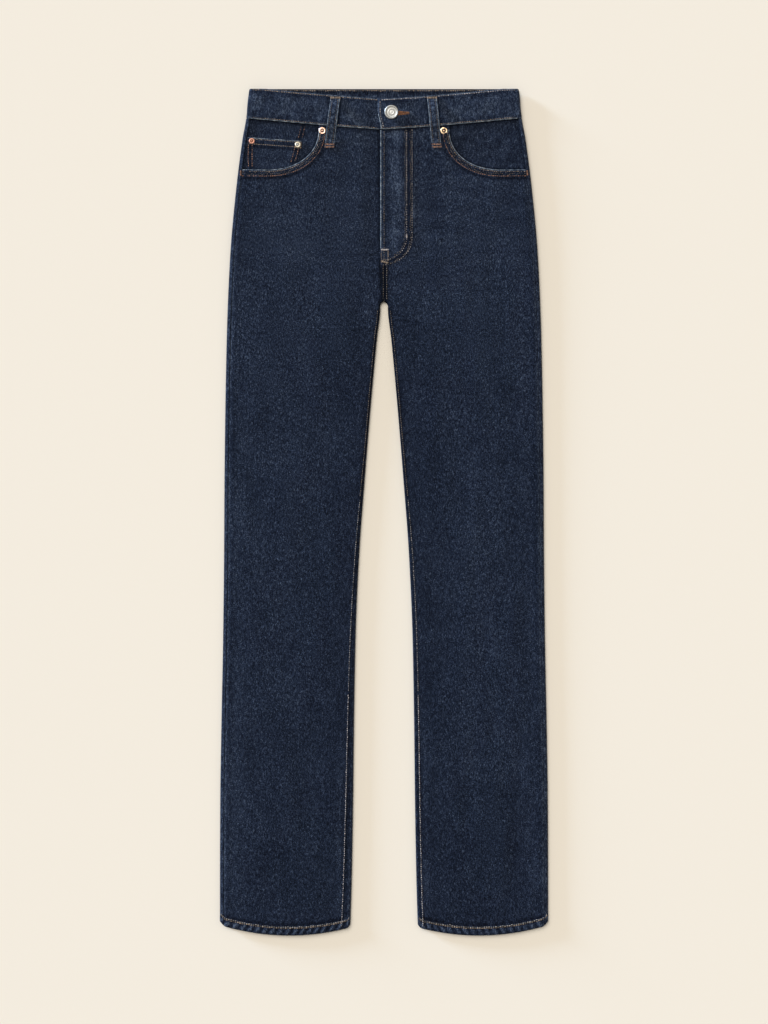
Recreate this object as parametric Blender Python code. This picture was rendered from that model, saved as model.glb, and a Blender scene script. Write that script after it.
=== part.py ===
"""Straight leg jeans, laid flat and face up, the waist towards +Y and the hems towards -Y.

Every cut piece is its own wall of cloth. A leg is a flattened tube: the back panel lies on the
surface, folds up round both sides and meets the front panel on top, along the outseam and inseam.
The wearer's left is +X. Sizes are in millimetres until a mesh is made.
"""

import math

import bpy
import numpy as np

MM = 0.001

# Cloth
CLOTH = 1.2
WAISTBAND_CLOTH = 2.4
LOOP_CLOTH = 1.6
HEM_CLOTH = 1.7
SEAM_GAP = 0.3
HALF_GAP = SEAM_GAP / 2

# Overall form
TOP_Y = 541.2
HEM_OUTER_Y = -528.0
HEM_INNER_Y = -531.0
HEM_BOW = 11.7
HEM_BAND = 12.0
HEM_FADE_Y = -330.0
CROTCH_Y = 269.0
ARCH_Y = 262.0
ARCH_HALF_WIDTH = 4.9
OUTSEAM_INSET = 5.0

# Silhouette of one side: y, half width at the outer fold, half width of the gap between the legs
SILHOUETTE_COLUMNS = ("y", "outer", "gap")
SILHOUETTE = (
    (-541.0, 210.0, 43.6),
    (-470.0, 210.0, 41.4),
    (-368.0, 209.6, 39.6),
    (-265.0, 208.0, 38.4),
    (-163.0, 206.0, 36.6),
    (-61.0, 204.8, 32.3),
    (42.0, 204.2, 24.8),
    (144.0, 202.9, 16.4),
    (221.0, 201.3, 9.3),
    (262.0, 200.0, 4.9),
    (333.0, 196.5, 4.9),
    (415.0, 189.0, 4.9),
    (477.0, 181.0, 4.9),
    (505.0, 176.2, 4.9),
    (541.2, 172.6, 4.9),
)

# Heights of the cloth: y, underside of the back, top of the front, inseam's distance round the fold
# from the side of the leg, on the wearer's right and left
LAY_COLUMNS = ("y", "under", "top", "inseam_right", "inseam_left")
LAY = (
    (-541.0, 0.0, 6.0, 11.3, 6.7),
    (-300.0, 0.0, 6.0, 8.6, 6.0),
    (-60.0, 0.0, 6.0, 5.2, 4.7),
    (120.0, 0.0, 6.2, 2.4, 2.4),
    (255.0, 1.5, 6.6, 0.0, 0.0),
    (350.0, 1.5, 7.2, 0.0, 0.0),
    (430.0, 1.5, 7.6, 0.0, 0.0),
    (495.0, 2.9, 7.6, 0.0, 0.0),
    (541.2, 2.9, 7.6, 0.0, 0.0),
)

# Waistband
WAIST_DIP = 12.7
WAIST_DIP_REACH = 155.0
WAIST_CURVE = 1.2
BAND_FOOT_CENTRE_Y = 489.5
BAND_FOOT_SIDE_Y = 503.2
BAND_FOOT_REACH = 169.0
BAND_SIDE_X = 176.0
BAND_LEAN_X = 61.0
BAND_FRONT_Z = 8.8
BAND_BACK_Z = 1.9
BAND_OVERLAP_X = -6.0
BAND_UNDERLAP_X = 24.0
BAND_OVERLAP_RISE = 1.2
BAND_UNDERLAP_DROP = 1.5
BAND_RAMP = 20.0

# Fly: the wearer's left front laps over the right one
FLY_EDGE_X = -4.5
FLY_FOOT_Y = 330.0
FLY_WIDTH = 40.0
FLY_RAMP = 8.0
FLY_RISE = 0.6
UNDERLAP_X = 8.0
UNDERLAP_DROP = 0.9
UNDERLAP_RAMP_X = (12.0, 33.0)

# Front pocket opening: a quarter of a slightly squared ellipse, then straight out to the side
POCKET_X = 150.0
POCKET_Y = 489.0
POCKET_REACH = 66.6
POCKET_DEPTH = 51.4
POCKET_POWER = 2.15
FACING_MARGIN = 8.0
FACING_DROP = 1.5
COIN_OUTER_X = 175.0
COIN_TOP_INNER_X = 105.0
COIN_FOOT_INNER_X = 113.0
COIN_TOP_OUTER_Y = 479.3
COIN_TOP_INNER_Y = 474.4
COIN_CLEAR = 0.9

# Back
YOKE_CENTRE_Y = 429.0
YOKE_SIDE_Y = 479.0
YOKE_SIDE_X = 181.0
BACK_POCKET = {"x": 92.0, "top": 421.0, "width": 132.0, "foot_width": 116.0, "height": 138.0, "point": 14.0}
BACK_POCKET_TILT = math.radians(3.0)

# Belt loops: the front ones slant outwards and stand off the waistband
LOOP_WIDTH = 12.0
LOOP_X = {"left": {"head": 61.0, "foot": 67.5}, "right": {"head": 61.9, "foot": 70.2}}
LOOP_BACK_X = 112.0
LOOP_BACK_LENGTH = 64.0
LOOP_COLUMNS = ("y", "underside")
LOOP_PROFILE = (
    (531.4, 9.1),
    (527.5, 9.1),
    (523.0, 10.8),
    (518.0, 13.2),
    (514.0, 13.9),
    (499.0, 13.9),
    (494.0, 13.0),
    (486.0, 10.4),
    (480.0, 8.6),
    (475.0, 7.9),
    (465.2, 7.9),
)

# Metal
BUTTON = {"x": 9.4, "y": 510.8, "radius": 9.0, "height": 3.2}
RIVET_RADIUS = 4.8
RIVET_HEIGHT = 1.3
POCKET_RIVETS = {"left": (76.6, 487.6), "right": (-78.9, 487.6)}
COIN_RIVETS = {"outer": (-168.9, 474.4, "copper"), "inner": (-110.2, 469.8, "steel")}

# How finely the cloth is divided
LEG_LEVELS = (-480, -405, -330, -260, -190, -120, -50, 20, 90, 150, 200, 235, ARCH_Y)
ARCH_ANGLES = (30, 60, 90)
ARCH_OUTER_Y = (267.0, 272.0, 277.0)
HIP_LEVELS = (288, 308, FLY_FOOT_Y, FLY_FOOT_Y + 3.0, 362, 396, 425, POCKET_Y - POCKET_DEPTH)
POCKET_ANGLES = (75, 60, 45, 30, 15, 0)
FRONT_FRACTIONS = (0.0, 0.11, 0.22, 0.28, 0.56, 0.829, 0.915, 1.0)
POCKET_COLUMNS = 6
FRONT_FOLD_STEPS = 4
OUTER_FOLD_STEPS = 7
BACK_FRACTIONS = (0.0, 0.25, 0.5, 0.75, 1.0)
INNER_FOLD_STEPS = 7
BACK_HIP_SHARES = (0.08, 0.25, 0.5, 0.75, 1.0)

# name: colour, roughness, metallic
MATERIALS = {
    "denim": ((0.012, 0.022, 0.055), 0.9, 0.0),
    "steel": ((0.72, 0.72, 0.70), 0.3, 1.0),
    "copper": ((0.80, 0.42, 0.26), 0.35, 1.0),
}


def column(table, columns, name, y):
    """The named column of a short table at y, on a smooth curve that never overshoots a row."""
    order = sorted(table)
    xs = np.array([row[0] for row in order])
    ys = np.array([row[columns.index(name)] for row in order])
    steps = np.diff(xs)
    slopes = np.diff(ys) / steps
    tangents = np.zeros(len(xs))
    tangents[0], tangents[-1] = slopes[0], slopes[-1]
    for i in range(1, len(xs) - 1):
        if slopes[i - 1] * slopes[i] > 0:
            tangents[i] = 2 / (1 / slopes[i - 1] + 1 / slopes[i])
    y = min(max(y, xs[0]), xs[-1])
    i = min(int(np.searchsorted(xs, y, side="right")) - 1, len(steps) - 1)
    t = (y - xs[i]) / steps[i]
    return float(
        ys[i] * (1 + 2 * t) * (1 - t) ** 2
        + ys[i + 1] * t * t * (3 - 2 * t)
        + tangents[i] * steps[i] * t * (1 - t) ** 2
        - tangents[i + 1] * steps[i] * t * t * (1 - t)
    )


def outline(name, y):
    return column(SILHOUETTE, SILHOUETTE_COLUMNS, name, y)


def lay(name, y):
    return column(LAY, LAY_COLUMNS, name, y)


def ease(low, high, value):
    """0 below low, 1 above high, smooth in between."""
    t = min(max((value - low) / (high - low), 0.0), 1.0)
    return t * t * (3 - 2 * t)


def band_foot(x):
    """The waistband's lower edge on the front."""
    share = min(abs(x) / BAND_FOOT_REACH, 1.0) ** WAIST_CURVE
    return BAND_FOOT_CENTRE_Y + (BAND_FOOT_SIDE_Y - BAND_FOOT_CENTRE_Y) * share


def band_head(x):
    """The waistband's upper edge on the front, which dips at the centre."""
    share = min(abs(x) / WAIST_DIP_REACH, 1.0) ** WAIST_CURVE
    return TOP_Y - WAIST_DIP * (1 - share)


def yoke_line(x):
    """The seam between yoke and back panel, a shallow V."""
    return YOKE_CENTRE_Y + (YOKE_SIDE_Y - YOKE_CENTRE_Y) * min(abs(x) / YOKE_SIDE_X, 1.0)


def opening_y(x, margin=0.0):
    """The edge of the front pocket's opening at x, or of a piece that reaches margin past it."""
    share = max(POCKET_X - abs(x), 0.0) / (POCKET_REACH + margin)
    return POCKET_Y - (POCKET_DEPTH + margin) * max(1 - share**POCKET_POWER, 0.0) ** (1 / POCKET_POWER)


def hem_line(share):
    """The hem's y across a leg, from 0 at the inseam to 1 at the outseam."""
    chord = HEM_INNER_Y + (HEM_OUTER_Y - HEM_INNER_Y) * share
    return chord - HEM_BOW * (1 - (2 * share - 1) ** 2)


def leg_y(level, share):
    """The y of a row across a leg: the hem's bow fades out up the leg."""
    fade = 1 - ease(HEM_OUTER_Y, HEM_FADE_Y, level)
    return level + (hem_line(share) - HEM_OUTER_Y) * fade


def front_top(x, y, side):
    """Height of the front's outer face. Side is 1 for the wearer's left and -1 for the right."""
    z = lay("top", y)
    above_fly_foot = ease(FLY_FOOT_Y - 20, FLY_FOOT_Y, y)
    if side > 0:
        reach = FLY_EDGE_X + FLY_WIDTH
        return z + FLY_RISE * above_fly_foot * (1 - ease(reach, reach + FLY_RAMP, x))
    return z - UNDERLAP_DROP * above_fly_foot * (1 - ease(*UNDERLAP_RAMP_X, -x))


def fold_point(edge, inward, p, y):
    """A point p mm round a fold from the middle of its edge: up and over where p is positive,
    down and under where it is negative. Edge and inward are 2-D: the silhouette and its normal.
    Every point of cloth is three coordinates and the three of the normal it faces along."""
    top, under = lay("top", y), lay("under", y)
    radius = (top - under) / 2
    quarter = radius * math.pi / 2
    turn = min(max(p, -quarter), quarter) / radius
    offset = radius * (1 - math.cos(turn)) + max(abs(p) - quarter, 0.0)
    z = (top + under) / 2 + radius * math.sin(turn)
    out = -math.cos(turn)
    normal = (inward[0] * out, inward[1] * out, math.sin(turn))
    return (edge[0] + inward[0] * offset, edge[1] + inward[1] * offset, z, *normal)


def quarter_turn(y):
    return (lay("top", y) - lay("under", y)) / 2 * math.pi / 2


def between(low, high, steps):
    return [low + (high - low) * i / steps for i in range(steps + 1)]


def outer_fold(y, steps_y=None):
    """The back panel's strip from the outseam, round the side of the leg, to the underside."""
    quarter = quarter_turn(y)
    radius = quarter * 2 / math.pi
    start = quarter + OUTSEAM_INSET - HALF_GAP - radius
    row_y = y if steps_y is None else steps_y
    edge = (outline("outer", row_y), row_y)
    return [fold_point(edge, (-1.0, 0.0), p, y) for p in between(start, -quarter, OUTER_FOLD_STEPS)]


def outseam_x(y):
    return outline("outer", y) - OUTSEAM_INSET - HALF_GAP


def inner_edges(side):
    """Rows up the inside of a leg, from the hem to the crotch: the level, the outer y, the point on
    the silhouette, its normal, and how far round the fold the inseam lies."""
    seam = "inseam_left" if side > 0 else "inseam_right"
    levels = [HEM_OUTER_Y, HEM_OUTER_Y + HEM_BAND - 1.0, HEM_OUTER_Y + HEM_BAND, *LEG_LEVELS]
    for level in levels:
        y = leg_y(level, 0.0)
        yield level, leg_y(level, 1.0), (outline("gap", y), y), (1.0, 0.0), lay(seam, y)
    for angle, outer_y in zip(ARCH_ANGLES, ARCH_OUTER_Y):
        turn = math.radians(angle)
        height = CROTCH_Y - ARCH_Y
        edge = (ARCH_HALF_WIDTH * math.cos(turn) + HALF_GAP, ARCH_Y + height * math.sin(turn))
        normal = (math.cos(turn) / ARCH_HALF_WIDTH, math.sin(turn) / height)
        length = math.hypot(*normal)
        yield outer_y, outer_y, edge, (normal[0] / length, normal[1] / length), 0.0


def across(start, end, fractions, height, up=1.0):
    """Points from start to end that face up, or down, with the height given by a function."""
    points = []
    for f in fractions:
        x = start[0] + (end[0] - start[0]) * f
        y = start[1] + (end[1] - start[1]) * f
        points.append((x, y, height(x, y), 0.0, 0.0, up))
    return points


def bowed(points, level, shares):
    """The same points with the y of a leg's row, shares running from the inseam to the outseam."""
    if level >= HEM_FADE_Y:
        return points
    return [(p[0], leg_y(level, f), *p[2:]) for f, p in zip(shares, points)]


def front_rows(side):
    """The front panel's rows of points, each with its first column, for +X."""
    rows = []
    for level, outer_y, edge, inward, seam in inner_edges(side):
        quarter = quarter_turn(edge[1])
        stop = max(quarter + 0.5, seam + 3.0)
        places = between(seam + HALF_GAP, stop, FRONT_FOLD_STEPS)
        fold = [fold_point(edge, inward, p, edge[1]) for p in places]
        end = (outseam_x(outer_y), outer_y)
        flat = across(fold[-1], end, FRONT_FRACTIONS, lambda x, y: lay("top", y))
        rows.append((0, fold[:-1] + bowed(flat, level, FRONT_FRACTIONS)))
    for level in HIP_LEVELS:
        start = (front_edge(level, side), float(level))
        end = (outseam_x(level), float(level))
        rows.append((FRONT_FOLD_STEPS, across(start, end, FRONT_FRACTIONS, height_of(side))))
    shares = [f / FRONT_FRACTIONS[POCKET_COLUMNS - 1] for f in FRONT_FRACTIONS[:POCKET_COLUMNS]]
    for angle in POCKET_ANGLES:
        turn = math.radians(angle)
        y = POCKET_Y - POCKET_DEPTH * math.sin(turn) ** (2 / POCKET_POWER)
        start = (front_edge(y, side), y)
        end = (POCKET_X - POCKET_REACH * math.cos(turn) ** (2 / POCKET_POWER), y)
        rows.append((FRONT_FOLD_STEPS, across(start, end, shares, height_of(side))))
    last = rows[-1][1]
    head = [(p[0], band_foot(p[0]) - SEAM_GAP, *p[2:]) for p in last]
    rows.append((FRONT_FOLD_STEPS, head))
    return rows


def front_edge(y, side):
    """The centre front edge of a front panel, as a distance towards its own side."""
    seam = FLY_EDGE_X * ease(CROTCH_Y, CROTCH_Y + 24, y)
    if side > 0:
        return seam + HALF_GAP
    if y > FLY_FOOT_Y + 1:
        return -UNDERLAP_X
    return -seam + HALF_GAP


def height_of(side):
    return lambda x, y: front_top(side * x, y, side)


def back_rows(side):
    rows = []
    for level, outer_y, edge, inward, seam in inner_edges(side):
        outer = outer_fold(outer_y)
        quarter = quarter_turn(edge[1])
        places = between(-quarter, seam - HALF_GAP, INNER_FOLD_STEPS)
        fold = [fold_point(edge, inward, p, edge[1]) for p in places]
        flat = across(outer[-1], fold[0], BACK_FRACTIONS, lambda x, y: lay("under", y), -1.0)
        flat = bowed(flat, level, [1 - f for f in BACK_FRACTIONS])
        rows.append((0, outer[:-1] + flat[:-1] + fold))
    low_outer, low_inner = ARCH_OUTER_Y[-1], CROTCH_Y + 3.0
    for share in BACK_HIP_SHARES:
        outer_y = low_outer + (YOKE_SIDE_Y - HALF_GAP - low_outer) * share
        inner_y = low_inner + (YOKE_CENTRE_Y - HALF_GAP - low_inner) * share
        rows.append((0, wrapped_row(outer_y, inner_y)))
    return rows


def wrapped_row(outer_y, inner_y):
    """A row of a back piece above the crotch: round the outer fold and in to the centre back."""
    outer = outer_fold(outer_y)
    flat = across(outer[-1], (HALF_GAP, inner_y), BACK_FRACTIONS, lambda x, y: lay("under", y), -1.0)
    return outer[:-1] + flat


def yoke_rows(side):
    rows = []
    head = BAND_FOOT_SIDE_Y - SEAM_GAP
    outer_foot = YOKE_SIDE_Y + HALF_GAP
    inner_foot = YOKE_CENTRE_Y + HALF_GAP
    for share in (0.0, 0.34, 0.67, 1.0):
        outer_y = outer_foot + (head - outer_foot) * share
        inner_y = inner_foot + (head - inner_foot) * share
        rows.append((0, wrapped_row(outer_y, inner_y)))
    return rows


def facing_rows(side):
    """The denim that shows inside a front pocket. It reaches under the front and the waistband."""
    inner_x = POCKET_X - POCKET_REACH - FACING_MARGIN + 0.1
    outer_shift = OUTSEAM_INSET - 1.4
    rows = []
    for share in between(0.0, 1.0, 4):
        points = []
        for f in (0.0, 0.04, 0.12, 0.24, 0.4, 0.58, 0.72, 0.86, 1.0):
            foot_x = inner_x + (outline("outer", POCKET_Y - POCKET_DEPTH) - outer_shift - inner_x) * f
            head_x = inner_x + (outline("outer", BAND_FOOT_SIDE_Y) - outer_shift - inner_x) * f
            foot = opening_y(foot_x, FACING_MARGIN)
            head = band_foot(head_x) + 5.0
            x = foot_x + (head_x - foot_x) * share
            y = foot + (head - foot) * share
            points.append((x, y, lay("top", y) - FACING_DROP, 0.0, 0.0, 1.0))
        rows.append((0, points))
    return rows


def coin_rows(side):
    """The coin pocket, on the right facing and level with the front. It stops at the opening."""
    rows = []
    for share in between(0.0, 1.0, 2):
        points = []
        for f in between(0.0, 1.0, 6):
            foot_x = COIN_FOOT_INNER_X + (COIN_OUTER_X - COIN_FOOT_INNER_X) * f
            head_x = COIN_TOP_INNER_X + (COIN_OUTER_X - COIN_TOP_INNER_X) * f
            foot = opening_y(foot_x) + COIN_CLEAR
            head = COIN_TOP_INNER_Y + (COIN_TOP_OUTER_Y - COIN_TOP_INNER_Y) * f
            x = foot_x + (head_x - foot_x) * share
            y = foot + (head - foot) * share
            points.append((x, y, lay("top", y) - FACING_DROP + SEAM_GAP + CLOTH, 0.0, 0.0, 1.0))
        rows.append((0, points))
    return rows


def loop_rows(word):
    top, foot = LOOP_PROFILE[0][0], LOOP_PROFILE[-1][0]
    place = LOOP_X[word]
    rows = []
    for y, underside in LOOP_PROFILE:
        centre = place["head"] + (place["foot"] - place["head"]) * (top - y) / (top - foot)
        z = underside + LOOP_CLOTH
        rows.append((0, [(centre + LOOP_WIDTH * (f - 0.5), y, z, 0.0, 0.0, 1.0) for f in (0.0, 0.5, 1.0)]))
    return rows


def band_stations():
    """The waistband's path, seen from above the waist: x, height, how far it is on the front, and
    the turn of its normal. It starts under the overlap, then the wearer's right, back and left."""
    radius = (BAND_FRONT_Z - BAND_BACK_Z) / 2
    middle = (BAND_FRONT_Z + BAND_BACK_Z) / 2
    flat_end = BAND_SIDE_X - radius
    right = [BAND_UNDERLAP_X, 8.0, -8.0, -14.0, -21.0, -28.0, -60.0, -100.0, -140.0, -flat_end]
    for x in right:
        yield x, BAND_FRONT_Z - BAND_UNDERLAP_DROP * (1 - ease(8.0, 8.0 + BAND_RAMP, -x)), 1.0, 90.0
    for turn in between(90.0, -90.0, 6)[1:-1]:
        angle = math.radians(turn)
        x = -flat_end - radius * math.cos(angle)
        yield x, middle + radius * math.sin(angle), (turn + 90) / 180, turn
    for x in between(-flat_end, flat_end, 8):
        yield x, BAND_BACK_Z, 0.0, -90.0
    for turn in between(-90.0, 90.0, 6)[1:-1]:
        angle = math.radians(turn)
        x = flat_end + radius * math.cos(angle)
        yield x, middle + radius * math.sin(angle), (turn + 90) / 180, turn
    for x in [flat_end, 140.0, 100.0, 60.0, 46.0, 39.0, 33.0, 26.0, 10.0, BAND_OVERLAP_X]:
        yield x, BAND_FRONT_Z + BAND_OVERLAP_RISE * (1 - ease(26.0, 26.0 + BAND_RAMP, x)), 1.0, 90.0


def waistband_rows():
    """Three rings of points, from the upper edge to the lower one."""
    rows = []
    for share in (1.0, 0.5, 0.0):
        points = []
        for x, z, front, turn in band_stations():
            foot = band_foot(x) * front + BAND_FOOT_SIDE_Y * (1 - front)
            head = band_head(x) * front + TOP_Y * (1 - front)
            y = foot + (head - foot) * share
            lean = outline("outer", y) / BAND_SIDE_X if abs(x) > BAND_LEAN_X else 1.0
            out = math.copysign(math.cos(math.radians(turn)), x)
            points.append((x * lean, y, z, out, 0.0, math.sin(math.radians(turn))))
        rows.append((0, points))
    return rows


def material(name):
    made = bpy.data.materials.get(name)
    if made is None:
        colour, roughness, metallic = MATERIALS[name]
        made = bpy.data.materials.new(name)
        made.use_nodes = True
        shader = made.node_tree.nodes["Principled BSDF"]
        shader.inputs["Base Color"].default_value = (*colour, 1.0)
        shader.inputs["Roughness"].default_value = roughness
        shader.inputs["Metallic"].default_value = metallic
    return made


def place(name, mesh, material_name):
    mesh.materials.append(material(material_name))
    obj = bpy.data.objects.new(name, mesh)
    bpy.context.scene.collection.objects.link(obj)
    obj.parent = bpy.data.objects["jeans"]
    mesh.shade_smooth()
    mesh.set_sharp_from_angle(angle=math.radians(40))
    return obj


def cloth(name, rows, side, thickness, hem_rows=0):
    """A closed wall of cloth whose outer face is the rows of points. Rows may start and end at
    different columns, as at the crotch and the pocket opening. The first hem_rows are the hem."""
    index = {}
    outer, inner = [], []
    for j, (first, row) in enumerate(rows):
        depth = HEM_CLOTH if j < hem_rows else thickness
        for i, (x, y, z, *normal) in enumerate(row):
            index[j, first + i] = len(outer)
            outer.append((side * x * MM, y * MM, z * MM))
            x, y, z = (v - depth * n for v, n in zip((x, y, z), normal))
            inner.append((side * x * MM, y * MM, z * MM))
    faces = []
    for j, i in sorted(index):
        corners = [(j, i), (j, i + 1), (j + 1, i + 1), (j + 1, i)]
        if all(c in index for c in corners):
            face = [index[c] for c in corners]
            faces.append(face if side > 0 else face[::-1])
    count = len(outer)
    edges = {(f[k], f[(k + 1) % 4]) for f in faces for k in range(4)}
    rim = [(b, a, count + a, count + b) for a, b in sorted(edges) if (b, a) not in edges]
    lining = [[count + n for n in f[::-1]] for f in faces]
    mesh = bpy.data.meshes.new(name)
    mesh.from_pydata(outer + inner, [], faces + lining + rim)
    return place(name, mesh, "denim")


def plate(name, corners, low, high):
    """A flat piece of cloth with straight sides."""
    mesh = bpy.data.meshes.new(name)
    n = len(corners)
    points = [(x * MM, y * MM, z * MM) for z in (low, high) for x, y in corners]
    sides = [(i, (i + 1) % n, n + (i + 1) % n, n + i) for i in range(n)]
    mesh.from_pydata(points, [], [tuple(range(n))[::-1], tuple(range(n, 2 * n)), *sides])
    return place(name, mesh, "denim")


def turned(name, profile, x, y, z, steps, material_name):
    """A round metal piece from its profile, radius and height, from the foot to the top."""
    mesh = bpy.data.meshes.new(name)
    rings = [r for r in profile if r[0] > 0]
    points = [
        (r * MM * math.cos(2 * math.pi * i / steps), r * MM * math.sin(2 * math.pi * i / steps), h * MM)
        for r, h in rings
        for i in range(steps)
    ]
    faces = [tuple(range(steps))[::-1], tuple(range(len(points) - steps, len(points)))]
    for k in range(len(rings) - 1):
        for i in range(steps):
            low, high = k * steps, (k + 1) * steps
            faces.append((low + i, low + (i + 1) % steps, high + (i + 1) % steps, high + i))
    mesh.from_pydata(points, [], faces)
    obj = place(name, mesh, material_name)
    obj.location = (x * MM, y * MM, z * MM)
    return obj


def back_pocket(name, side):
    p = BACK_POCKET
    half, foot_half = p["width"] / 2, p["foot_width"] / 2
    shape = [
        (-half, 0.0),
        (-foot_half, -p["height"] + p["point"]),
        (0.0, -p["height"]),
        (foot_half, -p["height"] + p["point"]),
        (half, 0.0),
    ]
    tilt = side * BACK_POCKET_TILT
    corners = [
        (
            side * p["x"] + u * math.cos(tilt) - v * math.sin(tilt),
            p["top"] + u * math.sin(tilt) + v * math.cos(tilt),
        )
        for u, v in shape
    ]
    return plate(name, corners, 0.0, CLOTH)


def rivet(name, x, y, surface, metal):
    r, h = RIVET_RADIUS, RIVET_HEIGHT
    profile = [(r - 0.3, 0.0), (r, 0.35), (r * 0.85, 0.8 * h), (r * 0.45, 0.75 * h)]
    profile += [(r * 0.3, h), (r * 0.1, h)]
    return turned(name, profile, x, y, surface + SEAM_GAP, 20, metal)


def button():
    b = BUTTON
    r, h = b["radius"], b["height"]
    profile = [(r * 0.5, 0.0), (r * 0.55, 0.9), (r * 0.97, 1.1), (r, 1.6), (r * 0.95, 0.8 * h)]
    profile += [(r * 0.82, h), (r * 0.72, 0.86 * h), (r * 0.2, 0.92 * h)]
    surface = BAND_FRONT_Z + BAND_OVERLAP_RISE
    return turned("button", profile, b["x"], b["y"], surface + SEAM_GAP, 32, "steel")


def build():
    for obj in list(bpy.data.objects):
        bpy.data.objects.remove(obj)
    root = bpy.data.objects.new("jeans", None)
    bpy.context.scene.collection.objects.link(root)
    hem_rows = 2
    for word, side in (("left", 1), ("right", -1)):
        cloth(f"front_{word}", front_rows(side), side, CLOTH, hem_rows)
        cloth(f"back_{word}", back_rows(side), side, CLOTH, hem_rows)
        cloth(f"yoke_{word}", yoke_rows(side), side, CLOTH)
        cloth(f"pocket_facing_{word}", facing_rows(side), side, CLOTH)
        cloth(f"belt_loop_front_{word}", loop_rows(word)[::-1], side, LOOP_CLOTH)
        back_pocket(f"back_pocket_{word}", side)
        half = LOOP_WIDTH / 2
        x = side * LOOP_BACK_X
        foot = TOP_Y - LOOP_BACK_LENGTH
        strip = [(x - half, foot), (x + half, foot), (x + half, TOP_Y - 1), (x - half, TOP_Y - 1)]
        plate(f"belt_loop_back_{word}", strip, 0.0, LOOP_CLOTH)
        x, y = POCKET_RIVETS[word]
        rivet(f"rivet_pocket_{word}", x, y, lay("top", y), "copper")
    half, foot = LOOP_WIDTH / 2, TOP_Y - LOOP_BACK_LENGTH
    strip = [(-half, foot), (half, foot), (half, TOP_Y - 1), (-half, TOP_Y - 1)]
    plate("belt_loop_back_centre", strip, 0.0, LOOP_CLOTH)
    cloth("coin_pocket", coin_rows(-1), -1, CLOTH)
    cloth("waistband", waistband_rows(), 1, WAISTBAND_CLOTH)
    for word, (x, y, metal) in COIN_RIVETS.items():
        rivet(f"rivet_coin_{word}", x, y, lay("top", y) - FACING_DROP + SEAM_GAP + CLOTH, metal)
    button()


build()
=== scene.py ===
"""Straight leg jeans laid flat: the denim, its seams, stitches and metal, on the CAD frame.

All lengths are millimetres until a mesh is made. +X is the wearer's left, +Y the waist, +Z up
from the surface. Each CAD node has one shell of denim, and the stitches lie on these shells.
"""

import math

import bpy
import numpy as np
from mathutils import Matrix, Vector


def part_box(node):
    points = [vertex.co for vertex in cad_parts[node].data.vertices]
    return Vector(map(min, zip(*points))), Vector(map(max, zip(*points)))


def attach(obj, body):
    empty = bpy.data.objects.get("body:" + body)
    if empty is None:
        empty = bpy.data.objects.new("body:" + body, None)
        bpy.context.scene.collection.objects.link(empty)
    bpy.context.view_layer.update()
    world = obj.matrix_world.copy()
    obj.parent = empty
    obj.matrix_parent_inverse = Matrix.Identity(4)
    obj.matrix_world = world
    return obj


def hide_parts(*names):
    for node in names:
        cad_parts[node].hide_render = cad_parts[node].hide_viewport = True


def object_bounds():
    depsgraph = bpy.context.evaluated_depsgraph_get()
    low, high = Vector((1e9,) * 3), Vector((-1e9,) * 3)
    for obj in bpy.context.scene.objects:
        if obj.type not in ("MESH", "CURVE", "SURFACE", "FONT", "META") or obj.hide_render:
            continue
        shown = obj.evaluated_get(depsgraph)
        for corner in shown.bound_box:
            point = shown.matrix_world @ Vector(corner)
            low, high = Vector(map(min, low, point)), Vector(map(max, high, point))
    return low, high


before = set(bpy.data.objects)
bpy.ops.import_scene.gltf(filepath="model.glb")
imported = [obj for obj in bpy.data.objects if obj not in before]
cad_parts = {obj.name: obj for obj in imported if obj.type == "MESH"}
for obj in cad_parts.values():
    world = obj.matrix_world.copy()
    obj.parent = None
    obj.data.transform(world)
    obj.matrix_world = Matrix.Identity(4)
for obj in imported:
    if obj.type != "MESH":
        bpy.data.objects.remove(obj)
cad_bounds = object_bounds()

MM = 0.001
FLOOR = "floor"
WORDS = {1: "left", -1: "right"}


def box_mm(node):
    """The lowest and highest corner of a CAD node, in millimetres."""
    low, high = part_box(node)
    return np.array(low) / MM, np.array(high) / MM


def centre_mm(node):
    low, high = box_mm(node)
    return (low + high) / 2


# ---------------------------------------------------------------- sizes

CLOTH = 1.1
POCKET_CLOTH = 0.85
GAP = 0.3
HALF_GAP = GAP / 2
FLOOR_Z = cad_bounds[0][2] / MM
REST_CLEAR = 0.02
TOP_Y = box_mm("waistband")[1][1]
HEM_LOW_Y = box_mm("back_left")[0][1]

HEM_BOW = 11.7
HEM_OUTER_Y = HEM_LOW_Y + 13.2
HEM_INNER_Y = HEM_OUTER_Y - 3.0
HEM_FADE_Y = HEM_OUTER_Y + 198.0
HEM_BAND = 11.5
CROTCH_Y = 269.0
FLY_TACK_Y = 335.5
INSEAM_DIM_Y = 20.0
INSEAM_DULL_Y = -230.0
LEG_TOP_Y = (200.0, 300.0)
LEG_WASH_Y = (180.0, 330.0)
ARCH_Y = 262.0
ARCH_HALF_WIDTH = 4.9
ARCH_RISE = 15.0
OUTSEAM_INSET = 5.0

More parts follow.
